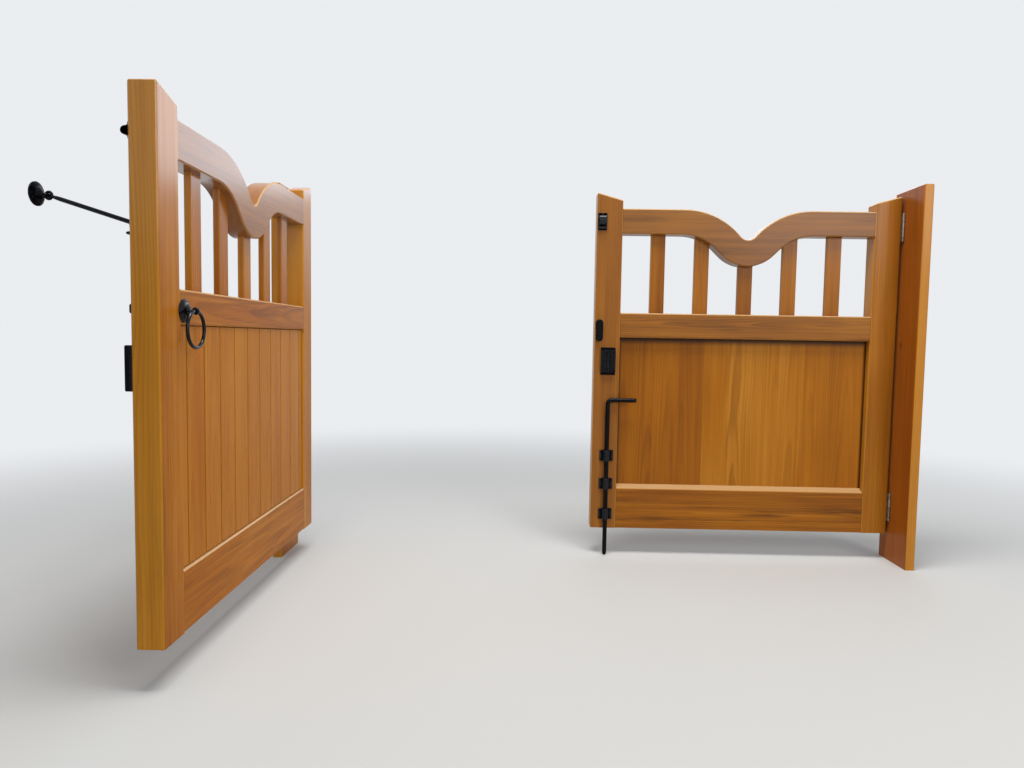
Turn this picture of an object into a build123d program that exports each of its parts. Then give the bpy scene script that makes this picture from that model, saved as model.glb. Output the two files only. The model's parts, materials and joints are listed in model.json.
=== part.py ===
from build123d import *
import math
import os

# Pair of timber driveway gates between two posts, in millimetres.
# X runs along the opening, Y points to the street and Z is up. The origin is on
# the left post's street face, in the middle of its width and at the ground. The
# right leaf is shut, and the left leaf stands open at right angles, held back by
# a cabin hook.

# Posts: broad boards, edge on to the opening
post_width = 32.0
post_depth = 190.0
left_post_height = 1310.0
right_post_height = 1335.0
post_arris = 4.0

# Leaves: every height is counted from the foot of the leaf
leaf_width = 1085.0
leaf_thickness = 63.0
ground_clearance = 97.0
hinge_gap = 8.0
meeting_gap = 10.0
arris = 3.5
stile_width = 92.0
stile_height = 1220.0
stile_top_fall = 26.0

# Top rail, dipped to a swan neck in the middle
shoulder_below_stile = 56.0
top_rail_depth = 89.0
neck_half_width = 228.0
neck_dip = 105.0
neck_hollow_radius = 34.0
lobe_half_width = 234.0
lobe_dip = 110.0
lobe_crown_radius = 168.0
lobe_hollow_radius = 130.0

# Middle and bottom rails
middle_rail_top = 791.0
middle_rail_depth = 89.0
middle_rail_rebate = 9.0
bottom_rail_depth = 148.0
ledge_rise = 13.0

# Boarded panel between the rails
panel_recess_inside = 25.0
panel_recess_outside = 6.0
board_pitch = 91.4
board_groove = 3.0
board_edge_bevel = 3.0

# Slats above the middle rail
slat_count = 5
slat_width = 52.0
slat_thickness = 18.0
slat_arris = 1.5

# Butt hinges
hinge_length = 100.0
hinge_flap_thickness = 2.5
hinge_flap_width = 34.0
knuckle_radius = 3.7
knuckle_count = 3
knuckle_play = 0.5
hinge_pin_radius = 2.0
hinge_pin_play = 0.08
hinge_axis_stand_off = 6.0
lower_hinge_height = 48.0
upper_hinge_below_top = 160.0

# Ring handle on the outer face of the left leaf
ring_from_edge = 109.0
ring_below_rail_top = 48.0
rose_radius = 27.0
rose_rim = 3.0
rose_dome = 9.0
spindle_radius = 7.0
spindle_play = 0.08
boss_radius = 8.0
boss_collar_radius = 11.0
boss_collar = 4.0
boss_gap = 0.5
ring_stand_off = 27.0
ring_radius = 42.0
ring_bar_radius = 3.0
ring_eye_play = 1.1
boss_reach = 9.0

# Ring latch bar and its guide, on the inner face of the left leaf
latch_bar_length = 158.0
latch_bar_height = 20.0
latch_bar_thickness = 6.0
latch_bar_from_edge = 6.0
latch_rivet_radius = 5.4
guide_from_edge = 46.0
guide_width = 14.0
guide_strap = 3.0
guide_foot = 16.0
guide_lift_room = 14.0
latch_keep_width = 26.0
latch_keep_height = 79.0
latch_keep_from_edge = 3.0
latch_keep_below_ring = 56.0
latch_keep_play = 1.5
latch_keep_stand_off = 15.0
latch_keep_wall = 3.0

# Lock case on the left leaf and its box keep on the right leaf
lock_below_middle_rail = 137.0
lock_case_width = 74.0
lock_case_height = 100.0
lock_case_thickness = 20.0
lock_case_from_edge = 8.0
lock_case_edge = 2.5
lock_keep_width = 53.0
lock_keep_from_edge = 24.0
lock_keep_thickness = 14.0
lock_keep_plate = 3.0
lock_keep_margin = 9.0
lock_keep_end_wall = 6.0

# Tower bolt on the left leaf and its keep on the right leaf
tower_below_shoulder = 48.0
tower_plate_length = 132.0
tower_plate_width = 36.0
tower_plate_thickness = 3.0
tower_from_edge = 6.0
tower_rod_radius = 6.0
tower_rod_play = 0.4
tower_staple_width = 16.0
tower_staple_wall = 3.0
tower_throw = 26.0
tower_knob_radius = 4.5
tower_knob_length = 14.0
tower_knob_gap = 4.0
tower_rod_bevel = 1.5
tower_keep_width = 34.0
tower_keep_height = 62.0
tower_keep_from_edge = 2.0
tower_keep_play = 2.5
tower_keep_bridge = 22.0

# Drop bolt on the right leaf
drop_from_edge = 52.5
drop_rod_radius = 8.0
drop_rod_play = 0.4
drop_handle_height = 474.0
drop_handle_reach = 104.0
drop_bend_radius = 16.0
drop_tip_cone = 6.0
drop_keeper_width = 50.0
drop_keeper_height = 40.0
drop_keeper_plate = 3.0
drop_keeper_wall = 3.0
lower_keeper_height = 54.0
middle_keeper_height = 166.0
upper_keeper_height = 270.0

# Cabin hook from the house wall to the left leaf
wall_plane = -234.0
wall_rose_aside = 3.0
wall_rose_above = 4.0
wall_rose_radius = 27.0
wall_rose_rim = 3.0
wall_rose_dome = 7.0
staple_wire_radius = 3.3
staple_half_gap = 12.0
hook_pivot_off_wall = 31.0
hook_pivot_aside = 32.0
hook_pivot_rise = 62.0
hook_end_from_edge = 60.0
hook_end_height = 1029.0
hook_bar_radius = 5.0
hook_eye_wire = 3.5
hook_eye_play = 0.6
hook_tip_length = 18.0
hook_tip_play = 2.0
leaf_eye_radius = 9.0
leaf_eye_wire = 3.0
leaf_eye_reach = 26.0
leaf_eye_collar_radius = 8.0
leaf_eye_collar = 3.0

# Worked out from the sizes above
leaf_foot = ground_clearance
leaf_inner_face = -leaf_thickness
left_hinge_x = post_width / 2 + hinge_gap / 2
right_meeting_x = post_width / 2 + hinge_gap + leaf_width + meeting_gap
right_hinge_x = right_meeting_x + leaf_width + hinge_gap / 2
right_post_x = right_hinge_x + hinge_gap / 2 + post_width / 2
hinge_axis_y = leaf_inner_face - hinge_axis_stand_off
rail_start = stile_width
rail_end = leaf_width - stile_width
neck_centre = leaf_width / 2
slat_inner_face = (leaf_thickness - slat_thickness) / 2
panel_inner_face = panel_recess_inside
panel_outer_face = leaf_thickness - panel_recess_outside
middle_rail_foot = middle_rail_top - middle_rail_depth
shoulder_height = stile_height - shoulder_below_stile
rail_underside = shoulder_height - top_rail_depth
tower_height = shoulder_height - tower_below_shoulder
upper_hinge_height = stile_height - upper_hinge_below_top
ring_height = middle_rail_top - ring_below_rail_top
latch_keep_height_above = ring_height - latch_keep_below_ring
lock_height = middle_rail_foot - lock_below_middle_rail
neck_arcs = (neck_half_width**2 + neck_dip**2) / (2 * neck_dip)
neck_crown_radius = neck_arcs - neck_hollow_radius

nodes = {}


def block(x0, x1, y0, y1, z0, z1):
    """A box given by its low and high corners."""
    size = Box(x1 - x0, y1 - y0, z1 - z0, align=(Align.MIN, Align.MIN, Align.MIN))
    return Pos(x0, y0, z0) * size


def cylinder_along(axis, centre, radius, length):
    """A cylinder centred on a point, along X, Y or Z."""
    turn = {"X": Rot(0, 90, 0), "Y": Rot(90, 0, 0), "Z": Rot(0, 0, 0)}[axis]
    return Pos(*centre) * turn * Cylinder(radius, length)


def outline_slab(edges, y0, y1):
    """A closed outline in the plane of the leaf, made as thick as y0 to y1."""
    face = make_face(Plane.XZ * edges)
    return Pos(0, y0, 0) * extrude(face, amount=y1 - y0, dir=(0, 1, 0))


def swan_neck(level, half_width, dip, crown_radius, hollow_radius):
    """The points of the left half of a dipped edge, from its shoulder to the middle.

    A crown arc leaves the flat shoulder and a hollow arc closes the dip at the
    middle of the leaf. The straight between them touches both arcs.
    """
    rise = crown_radius + hollow_radius - dip
    between = math.hypot(half_width, rise)
    lean = min(1.0, (crown_radius + hollow_radius) / between)
    slope = math.asin(lean) - math.atan2(rise, half_width)
    start = (neck_centre - half_width, level)

    def on_crown(angle):
        return (start[0] + crown_radius * math.sin(angle),
                level - crown_radius * (1 - math.cos(angle)))

    hollow_start = (neck_centre - hollow_radius * math.sin(slope),
                    level - dip + hollow_radius * (1 - math.cos(slope)))
    bottom = (neck_centre, level - dip)
    return start, on_crown(slope / 2), on_crown(slope), hollow_start, bottom


def neck_edges(level, half_width, dip, crown_radius, hollow_radius):
    """The whole dipped edge from the left shoulder to the right one."""
    start, crown_middle, crown_end, hollow_start, bottom = swan_neck(
        level, half_width, dip, crown_radius, hollow_radius
    )
    has_straight = math.dist(crown_end, hollow_start) > 0.05
    if not has_straight:
        crown_end = hollow_start

    def across(point):
        return (2 * neck_centre - point[0], point[1])

    first = (rail_start, level)
    left = [Line(first, start), ThreePointArc(start, crown_middle, crown_end)]
    right = [ThreePointArc(across(crown_end), across(crown_middle), across(start)),
             Line(across(start), across(first))]
    if has_straight:
        left.append(Line(crown_end, hollow_start))
        right.insert(0, Line(across(hollow_start), across(crown_end)))
    hollow = ThreePointArc(hollow_start, bottom, across(hollow_start))
    return left + [hollow] + right


def top_edge():
    """The upper edge of the top rail."""
    return neck_edges(leaf_foot + shoulder_height, neck_half_width, neck_dip,
                      neck_crown_radius, neck_hollow_radius)


def under_edge():
    """The underside of the top rail, between the stiles."""
    return neck_edges(leaf_foot + rail_underside, lobe_half_width, lobe_dip,
                      lobe_crown_radius, lobe_hollow_radius)


def arris_cutter(x, y, z0, z1):
    """A square bar on its corner, which takes the arris off an upright edge."""
    side = arris * math.sqrt(2)
    bar = Box(side, side, z1 - z0, align=(Align.CENTER, Align.CENTER, Align.MIN))
    return Pos(x, y, z0) * Rot(0, 0, 45) * bar


def ring_of_bar(radius, bar_radius):
    """A ring about Z, bent from bar whose section is an octagon."""
    section = RegularPolygon(bar_radius, 8, major_radius=False, rotation=22.5)
    return revolve(Plane.XZ * Pos(radius, 0, 0) * section, Axis.Z)


def flat_ring(radius, bar_radius):
    """A ring about Z, forged from bar of square section."""
    outer = Cylinder(radius + bar_radius, 2 * bar_radius)
    return outer - Cylinder(radius - bar_radius, 2 * bar_radius)


def open_heights():
    """The stretches of a stile's inner edge where no rail meets it."""
    return (
        (leaf_foot + bottom_rail_depth, leaf_foot + middle_rail_foot),
        (leaf_foot + middle_rail_top, leaf_foot + rail_underside),
        (leaf_foot + shoulder_height, leaf_foot + stile_height),
    )


def stile(is_hanging):
    """A stile whose top slopes down towards the middle of the leaf."""
    outer = leaf_width if is_hanging else 0.0
    inner = rail_end if is_hanging else rail_start
    low = leaf_foot
    high = leaf_foot + stile_height
    outline = Polyline(
        (outer, low), (outer, high), (inner, high - stile_top_fall), (inner, low), close=True
    )
    body = outline_slab(outline, 0.0, leaf_thickness)
    outer_edges = body.edges().filter_by(Axis.Z).sort_by(Axis.X)
    outer_pair = outer_edges[-2:] if is_hanging else outer_edges[:2]
    top_edges = body.faces().sort_by(Axis.Z)[-1].edges()
    body = chamfer(ShapeList(outer_pair + top_edges), arris)
    for z0, z1 in open_heights():
        body = body - arris_cutter(inner, 0.0, z0, z1)
        body = body - arris_cutter(inner, leaf_thickness, z0, z1)
    return body


def along_rail_edges(body):
    """The edges of a rail that run from stile to stile on its two faces."""
    def on_a_face(edge):
        box = edge.bounding_box()
        flat = abs(box.max.Y - box.min.Y) < 0.01
        wide = box.max.X - box.min.X > 1.0
        return flat and wide
    return body.edges().filter_by(on_a_face)


def top_rail():
    """The dipped top rail, with both long edges rounded on both faces."""
    upper = top_edge()
    lower = under_edge()
    ends = [
        Line(upper[0] @ 0, lower[0] @ 0),
        Line(upper[-1] @ 1, lower[-1] @ 1),
    ]
    body = outline_slab(Curve() + upper + lower + ends, 0.0, leaf_thickness)
    return chamfer(along_rail_edges(body), arris)


def under_the_neck():
    """All the room below the top rail, which trims the heads of the slats."""
    level = leaf_foot + rail_underside
    floor = leaf_foot
    sides = Polyline((rail_start, level), (rail_start, floor), (rail_end, floor), (rail_end, level))
    return outline_slab(Curve() + under_edge() + [sides], 0.0, leaf_thickness)


def slats():
    """Upright slats, evenly spaced, whose heads follow the top rail."""
    clear = rail_end - rail_start
    gap = (clear - slat_count * slat_width) / (slat_count + 1)
    room = under_the_neck()
    found = []
    for index in range(slat_count):
        start = rail_start + gap + index * (slat_width + gap)
        bar = block(start, start + slat_width, slat_inner_face,
                    slat_inner_face + slat_thickness,
                    leaf_foot + middle_rail_top, leaf_foot + shoulder_height)
        bar = chamfer(bar.edges().filter_by(Axis.Z), slat_arris)
        found += (bar & room).solids()
    return Compound(found)


def middle_rail():
    """The middle rail, rebated on its outer face over the heads of the boards."""
    low = leaf_foot + middle_rail_foot
    high = leaf_foot + middle_rail_top
    body = block(rail_start, rail_end, 0.0, leaf_thickness, low, high)
    body = body - block(rail_start, rail_end, panel_inner_face, leaf_thickness,
                        low, low + middle_rail_rebate)
    half = leaf_thickness / 2 - arris
    faces = body.edges().filter_by(Axis.X)
    rounded = faces.filter_by(lambda e: abs(e.center().Y - leaf_thickness / 2) > half)
    return chamfer(rounded, arris)


def bottom_rail():
    """The bottom rail, with a weathered ledge that rises to the panel."""
    low = leaf_foot
    high = leaf_foot + bottom_rail_depth
    section = Polyline(
        (0.0, low), (leaf_thickness, low), (leaf_thickness, high), (panel_inner_face, high),
        (panel_inner_face, high + ledge_rise), (0.0, high), close=True
    )
    face = make_face(Plane.YZ * section)
    body = Pos(rail_start, 0, 0) * extrude(face, amount=rail_end - rail_start, dir=(1, 0, 0))
    half = leaf_thickness / 2 - arris
    runs = body.edges().filter_by(Axis.X)
    rounded = runs.filter_by(lambda e: abs(e.center().Y - leaf_thickness / 2) > half)
    return chamfer(rounded, arris)


def board_joints():
    """Where the boards meet, counted out from the middle of the leaf."""
    half = int((rail_end - rail_start) / 2 / board_pitch + 0.5)
    places = []
    for step in range(half):
        offset = (step + 0.5) * board_pitch
        places += [neck_centre - offset, neck_centre + offset]
    return sorted(places)


def boarded_panel():
    """The panel, flat inside, with a V at each board joint on its outer face."""
    low = leaf_foot + bottom_rail_depth
    high = leaf_foot + middle_rail_foot + middle_rail_rebate
    body = block(rail_start, rail_end, panel_inner_face, panel_outer_face, low, high)
    rim = body.faces().sort_by(Axis.Y)[-1].edges()
    body = chamfer(rim, board_edge_bevel)
    groove = Polyline(
        (-board_groove, panel_outer_face), (0.0, panel_outer_face - board_groove),
        (board_groove, panel_outer_face), (0.0, panel_outer_face + board_groove), close=True
    )
    cutter = extrude(make_face(groove), amount=high - low, dir=(0, 0, 1))
    for place in board_joints():
        body = body - Pos(place, 0, low) * cutter
    ledge = block(rail_start, rail_end, 0.0, panel_inner_face, low, low + ledge_rise)
    return body - ledge


def hinge_halves(length):
    """The two halves of a butt hinge about an axis at the origin, from z = 0.

    The first half goes to the post, on the +X side, and holds the pin. The
    second goes to the leaf, on the -X side. The flaps run along +Y.
    """
    pitch = length / knuckle_count
    flat = hinge_gap / 2
    y_start = 0.0
    y_end = hinge_axis_stand_off + hinge_flap_width
    halves = []
    for side in (1, -1):
        x_outer = side * flat
        x_inner = side * (flat - hinge_flap_thickness)
        flap = block(min(x_outer, x_inner), max(x_outer, x_inner), y_start, y_end, 0.0, length)
        halves.append(flap)
    post_half, leaf_half = halves
    for index in range(knuckle_count):
        low = index * pitch + (knuckle_play / 2 if index else 0.0)
        high = (index + 1) * pitch - (knuckle_play / 2 if index < knuckle_count - 1 else 0.0)
        middle = (low + high) / 2
        barrel = cylinder_along("Z", (0, 0, middle), knuckle_radius, high - low)
        room = cylinder_along("Z", (0, 0, middle), knuckle_radius + knuckle_play,
                              high - low + 2 * knuckle_play)
        if index % 2 == 0:
            leaf_half = leaf_half - room
            post_half = post_half + barrel
        else:
            post_half = post_half - room
            leaf_half = leaf_half + barrel
    for index in range(knuckle_count):
        if index % 2:
            middle = (index + 0.5) * pitch
            bore = cylinder_along("Z", (0, 0, middle), hinge_pin_radius + hinge_pin_play, pitch)
            leaf_half = leaf_half - bore
    post_half = post_half + cylinder_along("Z", (0, 0, length / 2), hinge_pin_radius, length)
    return post_half, leaf_half


def ring_rose():
    """The domed round plate behind the ring, bored for the spindle."""
    bore = spindle_radius + spindle_play
    profile = Polyline(
        (bore, 0.0), (rose_radius, 0.0), (rose_radius, rose_rim),
        (boss_collar_radius, rose_dome), (bore, rose_dome), close=True
    )
    return revolve(make_face(Plane.XZ * profile), Axis.Z)


def ring_boss():
    """The spindle and its head, drilled across for the ring."""
    shank_length = rose_dome + boss_gap
    shank = Pos(0, 0, shank_length / 2) * Cylinder(spindle_radius, shank_length)
    collar_start = rose_dome + boss_gap
    collar = Pos(0, 0, collar_start + boss_collar / 2) * Cylinder(boss_collar_radius, boss_collar)
    neck_start = collar_start + boss_collar
    head_end = ring_stand_off + boss_reach
    neck = block(-boss_radius, boss_radius, -boss_radius, boss_radius, neck_start, head_end)
    neck = chamfer(neck.edges().filter_by(Axis.Z), boss_radius * 0.5)
    neck = chamfer(neck.faces().sort_by(Axis.Z)[-1].edges(), boss_radius * 0.3)
    eye = cylinder_along("X", (0, 0, ring_stand_off), ring_bar_radius + ring_eye_play, 4 * boss_radius)
    return shank + collar + neck - eye


def hanging_ring():
    """The round ring, hung below the eye of the boss once it is on the outer face."""
    return Pos(0, ring_radius, ring_stand_off) * ring_of_bar(ring_radius, ring_bar_radius)


def tower_staple(width, rod_play, wall, plate):
    """A bridge over a bolt's rod, standing on a plate, along X through z = 0.

    The plate's face is y = 0 and the bridge stands out towards -Y.
    """
    room = tower_rod_radius + rod_play
    axis_out = plate + tower_rod_radius + tower_rod_play
    outer = room + wall
    hood = cylinder_along("X", (0, -axis_out, 0), outer, width)
    legs = block(-width / 2, width / 2, -axis_out, -plate, -outer, outer)
    tunnel = cylinder_along("X", (0, -axis_out, 0), room, width + 2)
    tunnel = tunnel + block(-width / 2 - 1, width / 2 + 1, -axis_out, -plate, -room, room)
    behind = block(-width / 2 - 1, width / 2 + 1, -plate, outer, -outer, outer)
    return hood + legs - tunnel - behind


def tower_bolt_plate():
    """The plate of the tower bolt with its two guide staples."""
    plate = block(tower_from_edge, tower_from_edge + tower_plate_length, -tower_plate_thickness,
                  0.0, -tower_plate_width / 2, tower_plate_width / 2)
    first = tower_from_edge + tower_staple_width / 2
    last = tower_from_edge + tower_plate_length - tower_staple_width / 2
    body = plate
    for place in (first, last):
        staple = tower_staple(tower_staple_width, tower_rod_play, tower_staple_wall,
                              tower_plate_thickness)
        body = body + Pos(place, 0, 0) * staple
    return Pos(0, 0, leaf_foot + tower_height) * body


def tower_bolt_rod():
    """The round rod of the tower bolt, drawn back, with its knob."""
    axis_out = tower_plate_thickness + tower_rod_radius + tower_rod_play
    start = tower_from_edge
    end = tower_from_edge + tower_plate_length
    rod = cylinder_along("X", ((start + end) / 2, -axis_out, 0), tower_rod_radius, end - start)
    rod = chamfer(rod.faces().sort_by(Axis.X)[0].edges(), tower_rod_bevel)
    knob_x = start + tower_staple_width + tower_throw + tower_knob_radius + tower_knob_gap
    knob = cylinder_along("Y", (knob_x, -axis_out - tower_knob_length / 2, 0),
                          tower_knob_radius, tower_knob_length + tower_rod_radius)
    return Pos(0, 0, leaf_foot + tower_height) * (rod + knob)


def tower_keep():
    """The keep that takes the tower bolt, on the right leaf."""
    plate = block(0, tower_keep_width, -tower_plate_thickness, 0.0,
                  -tower_keep_height / 2, tower_keep_height / 2)
    staple = tower_staple(tower_keep_bridge, tower_keep_play, tower_staple_wall,
                          tower_plate_thickness)
    body = plate + Pos(tower_keep_width / 2, 0, 0) * staple
    return Pos(tower_keep_from_edge, 0, leaf_foot + tower_height) * body


def latch_bar():
    """The latch bar, a flat bar that swings on a round end at its pivot."""
    centre = leaf_foot + ring_height
    start = latch_bar_from_edge
    end = start + latch_bar_length
    low = centre - latch_bar_height / 2
    bar = block(start, end, -latch_bar_thickness, 0.0, low, low + latch_bar_height)
    tail = cylinder_along("Y", (end, -latch_bar_thickness / 2, centre),
                          latch_bar_height / 2, latch_bar_thickness)
    rivet_length = latch_bar_thickness * 1.5
    rivet = cylinder_along("Y", (end, -rivet_length / 2, centre), latch_rivet_radius, rivet_length)
    return bar + tail + rivet


def latch_guide():
    """The strap that holds the latch bar to the stile and lets it lift."""
    centre = leaf_foot + ring_height
    low = centre - latch_bar_height / 2 - 1.0
    high = centre + latch_bar_height / 2 + guide_lift_room
    x0 = guide_from_edge - guide_width / 2
    x1 = guide_from_edge + guide_width / 2
    out = latch_bar_thickness + 1.0
    strap = block(x0, x1, -out - guide_strap, 0.0, low - guide_strap, high + guide_strap)
    strap = strap - block(x0 - 1, x1 + 1, -out, 0.0, low, high)
    feet = block(x0, x1, -guide_strap, 0.0, low - guide_strap - guide_foot, low - guide_strap)
    feet = feet + block(x0, x1, -guide_strap, 0.0, high + guide_strap,
                        high + guide_strap + guide_foot)
    return strap + feet


def latch_keep():
    """The rounded keep for the latch bar, open towards the meeting edge."""
    low = leaf_foot + latch_keep_height_above
    radius = latch_keep_width / 2
    middle = latch_keep_from_edge + radius
    shape = SlotOverall(latch_keep_height, latch_keep_width, rotation=90)
    centre = low + latch_keep_height / 2
    body = extrude(Plane.XZ * shape, amount=latch_keep_stand_off, dir=(0, -1, 0))
    body = Pos(middle, 0, centre) * body
    outer_rim = body.faces().sort_by(Axis.Y)[0].edges()
    body = chamfer(outer_rim, latch_keep_wall * 0.9)
    slot_low = leaf_foot + ring_height - latch_bar_height / 2 - latch_keep_play
    slot_high = slot_low + latch_bar_height + 2 * latch_keep_play
    slot = block(0, latch_keep_from_edge + latch_keep_width - latch_keep_wall,
                 -latch_keep_stand_off + latch_keep_wall, -latch_keep_wall, slot_low, slot_high)
    return body - slot


def lock_case():
    """The lock's plain case on the inner face of the left leaf."""
    x0 = lock_case_from_edge
    low = leaf_foot + lock_height
    body = block(x0, x0 + lock_case_width, -lock_case_thickness, 0.0, low, low + lock_case_height)
    rim = body.faces().sort_by(Axis.Y)[0].edges()
    return chamfer(rim, lock_case_edge)


def lock_keep():
    """The box keep: a plate with a raised box, open towards the lock."""
    x0 = lock_keep_from_edge
    x1 = x0 + lock_keep_width
    low = leaf_foot + lock_height
    high = low + lock_case_height
    plate = block(x0, x1, -lock_keep_plate, 0.0, low, high)
    box = block(x0, x1, -lock_keep_thickness, 0.0, low + lock_keep_margin, high - lock_keep_margin)
    rim = box.faces().sort_by(Axis.Y)[0].edges().filter_by(Axis.Z)
    box = chamfer(rim, lock_case_edge)
    mouth = block(x0 - 1, x1 - lock_keep_end_wall, -lock_keep_thickness + lock_keep_plate,
                  -lock_keep_plate,
                  low + 2 * lock_keep_margin, high - 2 * lock_keep_margin)
    return plate + box - mouth


def drop_axis_out():
    """How far the drop bolt's rod stands in front of the leaf's inner face."""
    return drop_keeper_plate + drop_rod_radius + drop_rod_play


def drop_bolt():
    """The drop bolt: a round rod bent over at the top, down on the ground."""
    out = -drop_axis_out()
    top = leaf_foot + drop_handle_height
    path = FilletPolyline(
        (drop_from_edge, out, 0.0), (drop_from_edge, out, top),
        (drop_from_edge + drop_handle_reach, out, top), radius=drop_bend_radius
    )
    section = Plane(origin=path @ 0, z_dir=path % 0) * Circle(drop_rod_radius)
    rod = sweep(section, path=path)
    rod = chamfer(rod.faces().sort_by(Axis.Z)[0].edges(), drop_tip_cone, drop_tip_cone * 0.6)
    return chamfer(rod.faces().sort_by(Axis.X)[-1].edges(), drop_rod_radius * 0.3)


def drop_keeper(height):
    """A keeper of the drop bolt: a plate with a strap over the rod."""
    out = drop_axis_out()
    room = drop_rod_radius + drop_rod_play
    outer = room + drop_keeper_wall
    low = leaf_foot + height - drop_keeper_height / 2
    high = low + drop_keeper_height
    x0 = drop_from_edge - drop_keeper_width / 2
    x1 = drop_from_edge + drop_keeper_width / 2
    middle = (low + high) / 2
    plate = block(x0, x1, -drop_keeper_plate, 0.0, low, high)
    hood = block(drop_from_edge - outer, drop_from_edge + outer, -out - outer,
                 -drop_keeper_plate / 2, low, high)
    outer_edges = hood.edges().filter_by(Axis.Z).sort_by(Axis.Y)[:2]
    hood = chamfer(outer_edges, outer * 0.45)
    tunnel = cylinder_along("Z", (drop_from_edge, -out, middle), room, high - low + 2)
    return plate + hood - tunnel


def leaf_eye():
    """The screw eye on the left leaf that the cabin hook drops into."""
    top = leaf_eye_top()
    centre = (hook_end_from_edge, -leaf_eye_reach, top - leaf_eye_wire)
    ring = Pos(*centre) * flat_ring(leaf_eye_radius, leaf_eye_wire)
    shank_end = -leaf_eye_reach + leaf_eye_radius
    shank = cylinder_along("Y", (hook_end_from_edge, shank_end / 2, centre[2]),
                           leaf_eye_wire * 0.85, -shank_end)
    collar = cylinder_along("Y", (hook_end_from_edge, -leaf_eye_collar / 2, centre[2]),
                            leaf_eye_collar_radius, leaf_eye_collar)
    return ring + shank + collar


def leaf_eye_top():
    """The height of the top of the screw eye, just under the hook's tip."""
    return hook_end_height - hook_tip_length - hook_tip_play


def hook_end_point():
    """Where the cabin hook turns down, over the screw eye on the open leaf."""
    x = left_hinge_x + hinge_axis_stand_off - leaf_eye_reach
    y = hinge_axis_y - (leaf_width + hinge_gap / 2 - hook_end_from_edge)
    return (x, y, hook_end_height)


def hook_pivot_point():
    """The middle of the staple's pin, which the hook's eye turns on."""
    end = hook_end_point()
    return (wall_plane + hook_pivot_off_wall, end[1] + hook_pivot_aside,
            end[2] + hook_pivot_rise)


def hook_heading():
    """The hook's direction in plan, as a turn about Z in degrees."""
    end = hook_end_point()
    pivot = hook_pivot_point()
    return math.degrees(math.atan2(end[1] - pivot[1], end[0] - pivot[0]))


def cabin_hook():
    """The cabin hook: an eye, a straight bar and a tip turned down."""
    end = hook_end_point()
    pivot = hook_pivot_point()
    run = math.hypot(end[0] - pivot[0], end[1] - pivot[1])
    fall = hook_pivot_rise
    inner = staple_wire_radius + hook_eye_play
    eye = Rot(90, 0, 0) * flat_ring(inner + hook_eye_wire, hook_eye_wire)
    away = inner + hook_eye_wire
    slope = math.atan2(fall, run)
    start = (away * math.cos(slope), 0.0, -away * math.sin(slope))
    path = Polyline(start, (run, 0.0, -fall), (run, 0.0, -fall - hook_tip_length))
    section = Plane(origin=path @ 0, z_dir=path % 0) * Circle(hook_bar_radius)
    bar = sweep(section, path=path, transition=Transition.RIGHT)
    bar = chamfer(bar.faces().sort_by(Axis.Z)[0].edges(), hook_bar_radius * 0.3)
    hole = cylinder_along("Y", (0, 0, 0), inner, 4 * hook_bar_radius)
    body = eye + bar - hole
    return Pos(*pivot) * Rot(0, 0, hook_heading()) * body


def wall_rose():
    """The round plate on the house wall with the staple that holds the hook."""
    profile = Polyline(
        (0.0, 0.0), (wall_rose_radius, 0.0), (wall_rose_radius, wall_rose_rim),
        (wall_rose_radius * 0.75, wall_rose_dome), (0.0, wall_rose_dome), close=True
    )
    rose = revolve(make_face(Plane.XZ * profile), Axis.Z)
    pivot = hook_pivot_point()
    centre = (wall_plane, pivot[1] + wall_rose_aside, pivot[2] + wall_rose_above)
    rose = Pos(*centre) * Rot(0, 90, 0) * rose
    turn = Rot(0, 0, hook_heading())
    ahead = Pos(*pivot) * turn
    root = wall_rose_rim - hook_pivot_off_wall
    half = staple_wire_radius
    pin = cylinder_along("Y", (0, 0, 0), half, 2 * staple_half_gap)
    for side in (1, -1):
        inside = side * (staple_half_gap - half)
        outside = side * (staple_half_gap + half)
        pin = pin + block(root, half, min(inside, outside), max(inside, outside), -half, half)
    staple = ahead * pin
    return rose + staple


def post(height):
    """A post, its upright arrises rounded, its top bevelled and its foot at ground level."""
    body = Box(post_width, post_depth, height, align=(Align.CENTER, Align.MAX, Align.MIN))
    body = fillet(body.edges().filter_by(Axis.Z), post_arris)
    return chamfer(body.faces().sort_by(Axis.Z)[-1].edges(), post_arris / 2)


def place_right(shape):
    """Carry a leaf piece to the right leaf, which is shut."""
    return Pos(right_meeting_x, leaf_inner_face, 0) * shape


def place_left(shape):
    """Carry a leaf piece to the left leaf, mirrored and swung open."""
    mirrored = mirror(shape, about=Plane.YZ)
    shut = Pos(left_hinge_x + hinge_gap / 2 + leaf_width, leaf_inner_face, 0) * mirrored
    about_hinge = Pos(left_hinge_x, hinge_axis_y, 0) * Rot(0, 0, -90)
    return about_hinge * Pos(-left_hinge_x, -hinge_axis_y, 0) * shut


def on_outer_face(shape, from_edge, height):
    """Turn a fitting that stands up along +Z to stand out of the outer face."""
    return Pos(from_edge, leaf_thickness, leaf_foot + height) * Rot(-90, 0, 0) * shape


def add_timber(side, place):
    """The frame, boards and slats of one leaf."""
    pieces = {
        "meeting_stile": stile(False),
        "hanging_stile": stile(True),
        "top_rail": top_rail(),
        "middle_rail": middle_rail(),
        "bottom_rail": bottom_rail(),
        "boarded_panel": boarded_panel(),
        "slats": slats(),
    }
    for name, shape in pieces.items():
        nodes[f"{side}_{name}"] = place(shape)


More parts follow.
